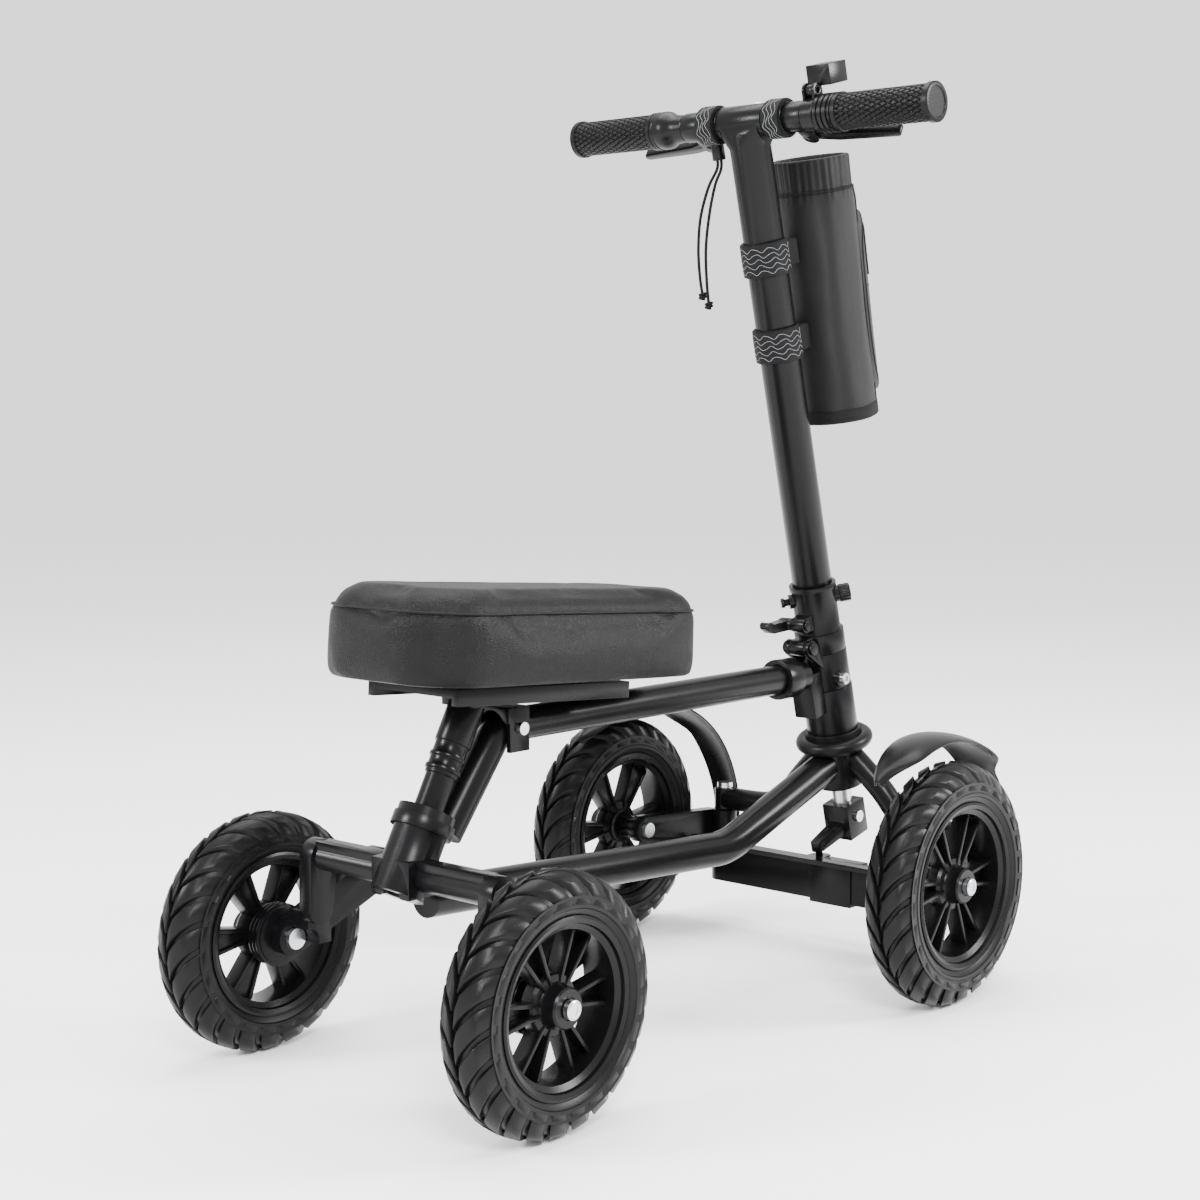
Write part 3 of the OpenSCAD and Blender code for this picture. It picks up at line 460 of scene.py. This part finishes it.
fit(tube("main_tube_bent", bent([(38, 167), (125, 162), (478, 142), (658, 205)], 110), 18 * MM, 9),
    coat, "frame", "frame_black", "main_tube")
fit(tube("crossbar_bent", bent([(62, 221.9), (132, 313), (612, 313)], 34), 16 * MM, 9),
    coat, "frame", "frame_black", "crossbar")
stay_route = ((682, 18, 219), (684, 30, 208), (689, 56, 182), (691, 78, 157), (690, 104, 146),
              (688, 161, 145))
stay_eye = [(6.1, 132.2), (11, 132.2), (12, 133.2), (12, 157), (11, 158), (6.1, 158)]
for name, side in (("stay_left", 1), ("stay_right", -1)):
    path = smooth_path([Vector((x + SHIFT, side * y, z)) * MM for x, y, z in stay_route], 8)
    stay = tube(name, path, 13.5 * MM, 8)
    eye = lathe(name + "_eye", stay_eye, Matrix.Translation((0.384, side * 0.165, 0)), 40,
                closed=True)
    fit(joined(name, [stay, eye]), coat, "frame", "frame_black", "front_stays")


# ---------------------------------------------------------------- cast and welded parts
# Castings, box sections and brackets of the frame, column and knuckles, in the same coat. Their
# edges are broken and rounded, as on tumbled castings and deburred box tube.
slot_of_node = {s["node"]: s["material_slot"] for s in frame["record"]["subparts"]}


def dressed(node, width, material, segments=2, angle=32):
    """A CAD node's shape with its edges rounded, standing for that node."""
    source = frame["nodes"][node]
    piece = start(node + "_dressed", source.data.copy())
    bpy.ops.object.mode_set(mode="EDIT")
    bpy.ops.mesh.select_all(action="SELECT")
    bpy.ops.mesh.remove_doubles(threshold=0.00002)
    bpy.ops.mesh.dissolve_limited(angle_limit=math.radians(0.6))
    bpy.ops.object.mode_set(mode="OBJECT")
    bevelled(piece, width, segments, angle)
    return fit(piece, material, body_of_node[node], slot_of_node[node], node)


for node, width in (("head_lug", 2.5), ("rear_housing", 2.0), ("rear_arm_left", 2.5),
                    ("rear_arm_right", 2.5), ("front_beam", 2.5), ("crossbar_clamps", 1.5),
                    ("head_tube", 1.0), ("knuckle_left", 2.2), ("knuckle_right", 2.2),
                    ("pitman_bracket", 2.0), ("hinge_base", 1.2), ("column_tube", 0.9),
                    ("stem", 1.2), ("handlebar", 0.8), ("brake_drums", 0.6), ("seat_post", 0.8),
                    ("seat_plate", 1.5), ("light_bracket", 0.8), ("brake_lever_left", 2.0),
                    ("brake_lever_right", 2.0), ("tie_bar", 0.8), ("column_spring_pin", 0.8),
                    ("fold_pin", 0.6), ("lever_pin", 0.6)):
    dressed(node, width * MM, coat)
for node, width in (("lever_perches", 1.2), ("column_knob", 1.0),
                    ("quick_release_lever", 1.6), ("bag_cord_lock", 1.4), ("front_light", 3.0)):
    dressed(node, width * MM, moulded)


# ---------------------------------------------------------------- headset ring
# A black rubber bump ring round the headset, with thin rings pressed on above it.
rubber = grainy("soft_rubber", (0.002, 0.002, 0.0022), (0.005, 0.005, 0.0055), 0.36, 800, 0.0001)
ring = [(35.5 + 8 * math.cos(math.radians(15 * k)), 8 * math.sin(math.radians(15 * k)))
        for k in range(24)]
collar = [(22, -8), (31, -8), (31, 6), (30.5, 9), (30.5, 10.2), (29.6, 10.4), (29.6, 11.6),
          (30.2, 11.8), (30.2, 14), (22, 14)]
fit(joined("headset_bumper", [lathe("headset_bumper", ring, HEAD, 72, closed=True),
                              lathe("headset_collar", collar, HEAD, 72, closed=True)]),
    rubber, "frame", "rubber", "headset_ring")


# ---------------------------------------------------------------- fenders
# Two thin moulded fenders over the front tyres, crowned across and narrowed at both ends. Each
# is screwed to its knuckle and turns with it.
def eased(share, marks):
    """A smooth line through marks of (share, value)."""
    for (low, before), (high, after) in zip(marks, marks[1:]):
        if share <= high:
            t = (share - low) / (high - low)
            return before + (after - before) * (3 * t * t - 2 * t ** 3)
    return marks[-1][1]


def walled(piece, thickness):
    """Gives a sheet its thickness, half to each side; the modifier is applied later."""
    wall = piece.modifiers.new("wall", "SOLIDIFY")
    wall.thickness = thickness
    wall.offset = 0


def fender(side):
    """A fender's thin blade over one front tyre; side is 1 on the left and -1 on the right."""
    mesh = bmesh.new()
    rows = []
    steps, across = 44, 10
    for i in range(steps + 1):
        share = i / steps
        angle = math.radians(-8 + 138 * share)
        ends = min(1.0, share / 0.10, (1 - share) / 0.16)
        ends = math.sin(ends * math.pi / 2) ** 0.6 if ends > 0 else 0.0
        inner = 164.5 + 23 * max(0, (share - 0.55) / 0.45) ** 2 + 8 * (1 - ends)
        outer = eased(share, ((0, 200), (0.36, 208), (0.47, 227), (0.85, 225), (1, 204)))
        row = []
        for j in range(across + 1):
            t = j / across
            y = inner + (outer - inner) * t
            radius = 154.0 + 2.6 * math.sin(math.pi * t) - 3.2 * abs(2 * t - 1) ** 3
            row.append(mesh.verts.new(((565 + SHIFT + radius * math.cos(angle)) * MM, side * y * MM,
                                       (118 + radius * math.sin(angle)) * MM)))
        rows.append(row)
    skin(mesh, rows, closed=False)
    piece = made("fender_blade_left" if side > 0 else "fender_blade_right", mesh)
    walled(piece, 2.2 * MM)
    bevelled(piece, 0.7 * MM, 2, 40)
    node = "fender_left" if side > 0 else "fender_right"
    return fit(piece, moulded, body_of_node[node], "trim_black", node)


fender(1)
fender(-1)


# ---------------------------------------------------------------- collars on the bar
# Rubber pads under the straps, a bell-shaped collar beside the left grip, and on the right the
# ribbed drum of the switch block beside its round clamp.
bar_pad = [(11.2, 29.6), (16, 29.6), (16.5, 30.2), (16.5, 53.4), (16, 54), (11.2, 54)]
bell = [(11.2, 78.2), (13.2, 78.2), (14.4, 79.5), (14.8, 88), (15.4, 93), (17.4, 97), (19.4, 101),
        (20, 105), (20, 110), (19.4, 112), (19.4, 113.4), (20, 114), (20, 116.4), (11.2, 116.4)]
drum = [(11.2, 78.2), (16.6, 78.2), (17.5, 79.2), (17.5, 93), (16.2, 94.4), (16.2, 95.4),
        (19.2, 95.6), (20, 96.6), (20, 100), (18.6, 100.6), (18.6, 102), (20, 102.6), (20, 106),
        (18.6, 106.6), (18.6, 108), (20, 108.6), (20, 112), (18.6, 112.6), (18.6, 113.8),
        (20, 114.4), (19.6, 116.4), (11.2, 116.4)]
collars = []
for side, outline in ((1, bell), (-1, drum)):
    along_bar = BAR @ Matrix.Rotation(math.radians(-90 * side), 4, "X")
    collars.append(lathe("bar_pad", bar_pad, along_bar, 56, closed=True))
    collars.append(lathe("bar_collar", outline, along_bar, 64, closed=True))
fit(joined("bar_collars", collars), moulded, "handlebar_stem", "trim_black", "bar_fittings")


# ---------------------------------------------------------------- grips
# Rubber grips with a raised diamond knurl and a plain flanged cap at each end.
def grip(name, side):
    """A grip: a knurled sleeve, a flange at each end and a dished outer cap."""
    steps, rows = 176, 130
    mesh = bmesh.new()
    length, inner = 0.114, 0.117
    rings = []
    for i in range(rows + 1):
        y = i / rows * length
        ring = []
        for k in range(steps):
            a = 2 * math.pi * k / steps
            if y < 0.0055 or y > length - 0.0065:
                r = 0.0199
                edge = min(y, abs(y - 0.0055), abs(length - y), abs(y - length + 0.0065))
                r -= 0.0012 * max(0, 1 - edge / 0.0012) if i in (0, rows) else 0
            else:
                u = (a * 22 / (2 * math.pi) + y / 0.0125) % 1
                v = (a * 22 / (2 * math.pi) - y / 0.0125) % 1
                groove = min(abs(u - 0.5), abs(v - 0.5))
                r = 0.0171 + 0.0013 * min(1, max(0, (groove - 0.04) / 0.10))
            ring.append(mesh.verts.new((r * math.cos(a), side * (inner + y), r * math.sin(a))))
        rings.append(ring)
    outer = rings[-1]
    dish = [mesh.verts.new((v.co.x * 0.82, v.co.y, v.co.z * 0.82)) for v in outer]
    bottom = [mesh.verts.new((v.co.x * 0.78, v.co.y - side * 0.0012, v.co.z * 0.78))
              for v in outer]
    skin(mesh, rings + [dish, bottom])
    mesh.faces.new(bottom)
    inside = [mesh.verts.new((v.co.x * 0.6, v.co.y, v.co.z * 0.6)) for v in rings[0]]
    skin(mesh, [rings[0], inside])
    mesh.faces.new(inside)
    piece = made(name, mesh, BAR)
    bpy.ops.object.shade_smooth_by_angle(angle=math.radians(45))
    return fit(piece, rubber, "handlebar_stem", "rubber", "grips")


grip("grip_left", 1)
grip("grip_right", -1)


# ---------------------------------------------------------------- reflector
# A round reflector on the front of the cast head: a white ring round a dark ribbed lens.
lens = grainy("dark_lens", (0.02, 0.02, 0.022), (0.07, 0.07, 0.075), 0.18, 2600, 0.0008, blotch=900)
white_ring = grainy("pale_plastic", (0.68, 0.69, 0.7), (0.8, 0.81, 0.82), 0.3, 900, 0.0001)
FRONT = BAR @ Matrix.Translation((0.0195, 0, 0)) @ Matrix.Rotation(math.radians(90), 4, "Y")
fit(lathe("reflector_lens", [(0.01, 4.4), (11, 4.0), (13.2, 3.0), (13.2, 0), (0.01, 0)], FRONT, 48),
    lens, "handlebar_stem", "reflector", "reflector")
fit(lathe("reflector_ring", [(13.4, -4), (17, -4), (17, 3.6), (16, 4.9), (14.2, 4.9), (13.4, 4)],
          FRONT, 48, closed=True), white_ring, "handlebar_stem", "reflector", "reflector")


# ---------------------------------------------------------------- knee rest
# A thick foam pad covered in black grained leatherette, narrower at the front, with a piped seam
# below its top edge. It lies on a steel plate and tips 4 degrees down to the front.
SEAT = Matrix.Translation((-0.334, 0, 0.457)) @ Matrix.Rotation(math.radians(4), 4, "Y")


SEAM_Z = -0.021
SWELL = 0.006


def seat_half_width(x):
    """Half the pad's width at x metres from its back, with rounded corners."""
    half = 0.095 - 0.020 * max(0.0, min(1.0, (x - 0.03) / 0.34))
    for near, r in ((x, 0.066), (0.4 - x, 0.046)):
        if near < r:
            half -= r - math.sqrt(max(0.0, r * r - (r - near) ** 2))
    return half


leatherette = bpy.data.materials.new("leatherette")
tree, shader = nodes_of(leatherette)
place = tree.nodes.new("ShaderNodeTexCoord")
cells = tree.nodes.new("ShaderNodeTexVoronoi")
cells.feature = "DISTANCE_TO_EDGE"
cells.inputs["Scale"].default_value = 380
crease = tree.nodes.new("ShaderNodeTexNoise")
crease.inputs["Scale"].default_value = 60
crease.inputs["Detail"].default_value = 6
mix = tree.nodes.new("ShaderNodeMath")
mix.operation = "ADD"
grain_bump = tree.nodes.new("ShaderNodeBump")
grain_bump.inputs["Strength"].default_value = 0.7
grain_bump.inputs["Distance"].default_value = 0.0009
shade = tree.nodes.new("ShaderNodeMix")
shade.data_type = "RGBA"
shade.inputs["A"].default_value = (0.002, 0.002, 0.0023, 1)
shade.inputs["B"].default_value = (0.005, 0.005, 0.0055, 1)
sheen = tree.nodes.new("ShaderNodeMapRange")
sheen.inputs["To Min"].default_value = 0.38
sheen.inputs["To Max"].default_value = 0.56
for node in (cells, crease):
    tree.links.new(place.outputs["Object"], node.inputs["Vector"])
tree.links.new(cells.outputs["Distance"], mix.inputs[0])
tree.links.new(crease.outputs["Fac"], mix.inputs[1])
tree.links.new(mix.outputs["Value"], grain_bump.inputs["Height"])
tree.links.new(crease.outputs["Fac"], shade.inputs["Factor"])
tree.links.new(crease.outputs["Fac"], sheen.inputs["Value"])
tree.links.new(sheen.outputs["Result"], shader.inputs["Roughness"])
tree.links.new(shade.outputs["Result"], shader.inputs["Base Color"])
tree.links.new(grain_bump.outputs["Normal"], shader.inputs["Normal"])
shader.inputs["Specular IOR Level"].default_value = 0.12

mesh = bmesh.new()
outline = []
count = 40
for side in (1, -1):
    for k in range(count + 1):
        x = 0.2 - 0.2 * math.cos(math.pi * k / count)
        x = x if side > 0 else 0.4 - x
        outline.append((x, side * seat_half_width(x)))
shrunk = [((x - 0.2) * 0.985 + 0.2, y * 0.97)
          for x, y in outline[:count + 1] + outline[count + 2:-1]]
levels = [(-0.0855, 0.93), (-0.0845, 0.965), (-0.081, 0.99), (-0.074, 1.0), (-0.05, 1.0),
          (-0.030, 1.0), (-0.022, 0.99), (-0.0135, 0.955), (-0.0065, 0.89), (-0.002, 0.78)]
rings = [[mesh.verts.new(((x - 0.2) * (1 - (1 - share) * 0.5) + 0.2, y * share, z))
          for x, y in shrunk] for z, share in levels]
skin(mesh, rings)
mesh.faces.new(rings[0])
mesh.faces.new(rings[-1])
pad = made("knee_pad", mesh)
remesh = pad.modifiers.new("even", "REMESH")
remesh.mode = "VOXEL"
remesh.voxel_size = 0.006
apply_modifiers(pad)
rest = [v.co.copy() for v in pad.data.vertices]
base = pad.vertex_groups.new(name="held")
base.add([v.index for v in pad.data.vertices if v.co.z < -0.0825], 1.0, "REPLACE")
cloth = pad.modifiers.new("cloth", "CLOTH")
cloth.settings.use_pressure = True
cloth.settings.uniform_pressure_force = 4
cloth.settings.effector_weights.gravity = 0
cloth.settings.vertex_group_mass = "held"
for step in range(1, 19):
    bpy.context.scene.frame_set(step)
apply_modifiers(pad)
bpy.context.scene.frame_set(1)
for v, home in zip(pad.data.vertices, rest):
    move = v.co - home
    if move.length > SWELL:
        v.co = home + move.normalized() * SWELL
for v in pad.data.vertices:
    v.co.z = min(v.co.z, 0.0)
    v.co.z = max(v.co.z, -0.0875)
subdivide = pad.modifiers.new("fine", "SUBSURF")
subdivide.levels = subdivide.render_levels = 1
apply_modifiers(pad)
surface = BVHTree.FromObject(pad, bpy.context.evaluated_depsgraph_get())
seam = []
for k in range(len(shrunk)):
    a, b = Vector((*shrunk[k], SEAM_Z)), Vector((*shrunk[(k + 1) % len(shrunk)], SEAM_Z))
    for t in (0, 0.5):
        p = a.lerp(b, t)
        hit = surface.find_nearest(Vector(((p.x - 0.2) * 1.03 + 0.2, p.y * 1.06, p.z)))[0]
        seam.append(Vector((hit.x, hit.y, SEAM_Z)))
for v in pad.data.vertices:
    if -0.026 < v.co.z < -0.016:
        depth = 1 - abs(v.co.z - SEAM_Z) / 0.005
        out = Vector((v.co.x - 0.2, v.co.y, 0)).normalized()
        v.co -= out * 0.0012 * depth
pad.data.transform(SEAT)
alone(pad)
bpy.ops.object.shade_smooth()
piping = tube("knee_pad_seam", [SEAT @ p for p in seam + seam[:2]], 1.1 * MM, 3)
fit(pad, leatherette, "seat", "leatherette", "seat_cushion")
fit(piping, leatherette, "seat", "leatherette", "seat_cushion")


# ---------------------------------------------------------------- bag
# A padded bottle bag of smooth dark woven fabric: an open round body gathered by a drawstring
# collar, a zipped front pocket with piping, a reflective tape and a webbing band at the bottom.
BAG = (HEAD @ Matrix.Translation(Vector((79.75, -6, 353)) * MM)
       @ Matrix.Rotation(math.radians(2.5), 4, "Y"))


def woven(name, dark, light, threads, rough=0.75, height=0.0003, sheen=0.2):
    """Plain woven cloth: crossed fine waves on Object coordinates over soft tone changes."""
    material = bpy.data.materials.new(name)
    tree, shader = nodes_of(material)
    place = tree.nodes.new("ShaderNodeTexCoord")
    height_sum = tree.nodes.new("ShaderNodeMath")
    height_sum.operation = "ADD"
    for slot, direction in ((0, "DIAGONAL"), (1, "Z")):
        wave = tree.nodes.new("ShaderNodeTexWave")
        wave.bands_direction = direction
        wave.inputs["Scale"].default_value = threads
        wave.inputs["Distortion"].default_value = 0.6
        tree.links.new(place.outputs["Object"], wave.inputs["Vector"])
        tree.links.new(wave.outputs["Fac"], height_sum.inputs[slot])
    soft = tree.nodes.new("ShaderNodeTexNoise")
    soft.inputs["Scale"].default_value = 18
    soft.inputs["Detail"].default_value = 5
    tree.links.new(place.outputs["Object"], soft.inputs["Vector"])
    tone = tree.nodes.new("ShaderNodeMix")
    tone.data_type = "RGBA"
    tone.inputs["A"].default_value = (*dark, 1)
    tone.inputs["B"].default_value = (*light, 1)
    bump = tree.nodes.new("ShaderNodeBump")
    bump.inputs["Strength"].default_value = 0.5
    bump.inputs["Distance"].default_value = height
    tree.links.new(soft.outputs["Fac"], tone.inputs["Factor"])
    tree.links.new(tone.outputs["Result"], shader.inputs["Base Color"])
    tree.links.new(height_sum.outputs["Value"], bump.inputs["Height"])
    tree.links.new(bump.outputs["Normal"], shader.inputs["Normal"])
    shader.inputs["Roughness"].default_value = rough
    shader.inputs["Specular IOR Level"].default_value = 0.13
    shader.inputs["Sheen Weight"].default_value = sheen
    return material


bag_cloth = woven("bag_cloth", (0.005, 0.005, 0.0054), (0.009, 0.009, 0.0096), 900,
                  rough=0.4, height=0.0001, sheen=0.02)
webbing = woven("black_webbing", (0.002, 0.002, 0.0023), (0.005, 0.005, 0.0056), 420,
                rough=0.6, height=0.0005, sheen=0.0)


BAG_TALL = 0.272
COLLAR_TOP = 0.282


def bag_radius(a, z):
    """The bag's outside in metres, slightly slack, with folds where the cord gathers it."""
    r = 0.0436 + 0.0006 * math.sin(2 * a + 0.7) * math.sin(math.pi * z / BAG_TALL)
    r += 0.0010 * noise.noise(Vector((math.cos(a) * 2.1, math.sin(a) * 2.1, z * 14)))
    if z > 0.236:
        gather = min(1, (z - 0.236) / 0.014)
        r += gather * (0.0012 * math.sin(23 * a) * math.sin(11 * a + 1) - 0.0022)
    return r


def on_bag(a, z, lift=0.0):
    """A point on the bag's outside, or lifted off it, at an angle and a height."""
    r = bag_radius(a, z) + lift
    return Vector((r * math.cos(a), r * math.sin(a), z))


mesh = bmesh.new()
steps, stations = 160, 84
rings = []
for i in range(stations + 1):
    z = COLLAR_TOP * i / stations
    rings.append([mesh.verts.new(on_bag(2 * math.pi * k / steps, z)) for k in range(steps)])
lip = [(0.0008, 0.0015), (0.0022, 0.0019), (0.0036, 0.0008), (0.0042, -0.004), (0.0042, -0.03),
       (0.0042, -0.12), (0.0042, -0.27), (0.012, -0.2765)]
for inset, rise in lip:
    ring = []
    for k in range(steps):
        a = 2 * math.pi * k / steps
        r = bag_radius(a, BAG_TALL) - inset
        ring.append(mesh.verts.new((r * math.cos(a), r * math.sin(a), COLLAR_TOP + rise)))
    rings.append(ring)
skin(mesh, rings)
mesh.faces.new(rings[0])
mesh.faces.new(rings[-1])
bag = made("bag_body", mesh, BAG)
bpy.ops.object.shade_smooth_by_angle(angle=math.radians(50))
fit(bag, bag_cloth, "handlebar_stem", "bag_fabric", "bag")


def cloth_band(name, mesh):
    """A thin sewn band from a bmesh drawn on the bag."""
    piece = made(name, mesh, BAG)
    walled(piece, 0.0006)
    apply_modifiers(piece)
    bpy.ops.object.shade_smooth_by_angle(angle=math.radians(40))
    return piece


def wrapped(name, low, high, lift, thick, steps=150):
    """A band of cloth that lies round the bag between two heights."""
    mesh = bmesh.new()
    rows = []
    heights = [low, low + (high - low) * 0.12, (low + high) / 2, high - (high - low) * 0.12, high]
    for z, out in zip(heights, (0.0, 1.0, 1.0, 1.0, 0.0)):
        rows.append([mesh.verts.new(on_bag(math.radians(-180 + 360 * k / steps), z,
                                           lift + thick * out)) for k in range(steps + 1)])
    skin(mesh, rows, closed=False)
    bmesh.ops.remove_doubles(mesh, verts=mesh.verts, dist=0.00001)
    return cloth_band(name, mesh)


fit(wrapped("bag_bottom_band", 0.0002, 0.014, 0.0003, 0.0014), webbing, "handlebar_stem",
    "webbing", "bag")
for name, around in (("bag_binding_right", -52), ("bag_binding_left", 52)):
    seam = [BAG @ on_bag(math.radians(around), 0.004 + 0.244 * k / 40, 0.0002) for k in range(41)]
    fit(tube(name, seam, 1.5 * MM, 3), webbing, "handlebar_stem", "webbing", "bag")
fit(wrapped("bag_collar_band", 0.2475, 0.2505, 0.0002, 0.0012), webbing, "handlebar_stem",
    "webbing", "bag")


POCKET_LOW, POCKET_TOP, POCKET_DEEP = 0.018, 0.224, 0.0165


def pocket_half(z):
    """Half the pocket's width at a height, with rounded corners."""
    half, r = 0.0372, 0.022
    for near in (z - POCKET_LOW, POCKET_TOP - z):
        if near < r:
            half -= r - math.sqrt(max(0.0, r * r - (r - near) ** 2))
    return half


mesh = bmesh.new()
rows = []
for i in range(57):
    z = POCKET_LOW + (POCKET_TOP - POCKET_LOW) * (0.5 - 0.5 * math.cos(math.pi * i / 56))
    half = max(pocket_half(z), 0.0004)
    row = []
    for j in range(33):
        y = -half * math.cos(math.pi * j / 32)
        share = abs(y) / half
        inside = (1 - share ** 5) if share < 1 else 0.0
        base = math.sqrt(max(0.0, 0.0442 ** 2 - y * y))
        rise = min(1, min(z - POCKET_LOW, POCKET_TOP - z) / 0.006) * inside
        depth = POCKET_DEEP * (1 - 0.25 * share ** 2) + 0.001
        x = base - 0.001 + depth * max(0, rise) ** 0.55
        x += 0.0007 * noise.noise(Vector((y * 50, z * 22, 3)))
        row.append(mesh.verts.new((x, y, z)))
    rows.append(row)
skin(mesh, rows, closed=False)
pocket = made("bag_pocket", mesh)
front = BVHTree.FromPolygons([v.co.copy() for v in pocket.data.vertices],
                             [tuple(p.vertices) for p in pocket.data.polygons])
pocket.data.transform(BAG)
bpy.ops.object.shade_smooth()
fit(pocket, bag_cloth, "handlebar_stem", "bag_fabric", "bag")


def laid(y, z, lift):
    """A point on the finished pocket or bag front."""
    hit = front.ray_cast(Vector((0.2, y, z)), Vector((-1, 0, 0)))[0]
    x = hit.x if hit else math.sqrt(max(0.0, 0.0440 ** 2 - y * y))
    return Vector((x + lift, y, z))


def piped(name, points, radius):
    """A round line of webbing along points on the bag."""
    piece = tube(name, [BAG @ p for p in points], radius, 3)
    return fit(piece, webbing, "handlebar_stem", "webbing", "bag")


border = []
for k in range(121):
    a = 2 * math.pi * k / 120
    z = 0.121 + 0.1 * math.copysign(abs(math.sin(a)) ** 0.42, math.sin(a))
    y = math.copysign(abs(math.cos(a)) ** 0.42, math.cos(a)) * 0.0362
    border.append(laid(max(-0.0362, min(0.0362, y)), z, 0.0))
piped("pocket_piping", border, 1.0 * MM)
zip_line = [laid(-0.029, 0.150 + 0.045 * k / 10, 0.0004) for k in range(11)]
zip_line += [laid(-0.029 * math.cos(math.pi * k / 20), 0.195 + 0.018 * math.sin(math.pi * k / 20),
                  0.0004) for k in range(1, 20)]
zip_line += [laid(0.029, 0.195 - 0.065 * k / 12, 0.0004) for k in range(13)]
piped("pocket_zip", zip_line, 1.5 * MM)
piped("pocket_seam", [laid(-0.034 + 0.068 * k / 30, 0.139, 0.0002) for k in range(31)], 0.5 * MM)


def strip(name, low, high, z_low, z_high, lift, material, slot):
    """A flat strip sewn to the pocket's front between two lines across and two heights."""
    mesh = bmesh.new()
    skin(mesh, [[mesh.verts.new(laid(low + (high - low) * j / 4,
                                     z_low + (z_high - z_low) * i / 60, lift))
                 for j in range(5)] for i in range(61)], closed=False)
    return fit(cloth_band(name, mesh), material, "handlebar_stem", slot, "bag")


silver = grainy("reflective_tape", (0.38, 0.40, 0.42), (0.58, 0.60, 0.62), 0.42, 1800, 0.0003,
                blotch=120)
strip("reflective_tape", 0.0075, 0.0165, 0.021, 0.221, 0.0005, silver, "reflector")
strip("bag_label", -0.020, 0.0075, 0.128, 0.139, 0.0008, webbing, "webbing")
for name, y in (("tape_stitches_outer", 0.0153), ("tape_stitches_inner", 0.0087)):
    stitches = []
    for k in range(66):
        z = 0.023 + 0.003 * k
        ends = [BAG @ laid(y, z, 0.0009), BAG @ laid(y, z + 0.0019, 0.0009)]
        stitches.append(tube(name, ends, 0.3 * MM, 1))
    fit(joined(name, stitches), webbing, "handlebar_stem", "webbing", "bag")


# ---------------------------------------------------------------- straps
# Four black hook-and-loop straps: two hold the bag to the stem, two hang it from the bar. Fine
# grey yarns run round each in zigzag waves, woven into its face.
yarn = grainy("grey_yarn", (0.10, 0.105, 0.105), (0.17, 0.175, 0.18), 0.6, 1500, 0.0002, blotch=200)


def strap(name, place, inner, width):
    """A strap round a tube with its overlapped end standing slightly proud."""
    half = width / 2
    band = [(inner, -half), (inner + 2.0, -half), (inner + 2.4, -half + 1), (inner + 2.4, half - 1),
            (inner + 2.0, half), (inner, half)]
    return lathe(name, band, place, 72, closed=True)


def waves(name, place, radius, width, count=4, periods=9):
    """Zigzag yarns round a strap, evenly spaced across its width."""
    lines = []
    for row in range(count):
        middle = (row + 0.5) / count * (width - 5) - (width - 5) / 2
        line = []
        for k in range(periods * 8 + 1):
            a = 2 * math.pi * k / (periods * 8)
            swing = math.sin(periods * a + row * 0.8) + 0.22 * math.sin(2 * periods * a + 1)
            line.append(place @ (Vector((radius * math.cos(a), radius * math.sin(a),
                                         middle + 2.1 * swing)) * MM))
        lines.append(tube(name, line, 0.32 * MM, 1, caps=False))
    return lines


lap_shift = Matrix.Translation(Vector((-1.2, 0, 0)) * MM)
bar_lap_shift = Matrix.Translation(Vector((-1.0, 0, 0)) * MM)
pieces, yarns = [], []
for s in (455, 547):
    here = HEAD @ Matrix.Translation(Vector((0, 0, s)) * MM)
    pieces.append(strap("stem_strap", here, 22.05, 36))
    pieces.append(strap("stem_strap_lap", here @ lap_shift, 22.9, 34))
    pieces.append(bar_between("stem_strap_tab", (22, 0, 0), (40, -3, 0), 25, 27, here))
    yarns += waves("stem_strap_yarn", here @ lap_shift, 25.35, 34, 5)
for side in (-1, 1):
    here = (BAR @ Matrix.Translation(Vector((0, 43 * side, 0)) * MM)
            @ Matrix.Rotation(math.radians(90), 4, "X"))
    pieces.append(strap("bar_strap", here, 16.8, 22))
    pieces.append(strap("bar_strap_lap", here @ bar_lap_shift, 17.8, 21))
    yarns += waves("bar_strap_yarn", here @ bar_lap_shift, 20.2, 21, 4, 7)
fit(joined("bag_straps_bands", pieces), webbing, "handlebar_stem", "webbing", "bag_straps")
fit(joined("bag_straps_yarns", yarns), yarn, "handlebar_stem", "webbing", "bag_straps")
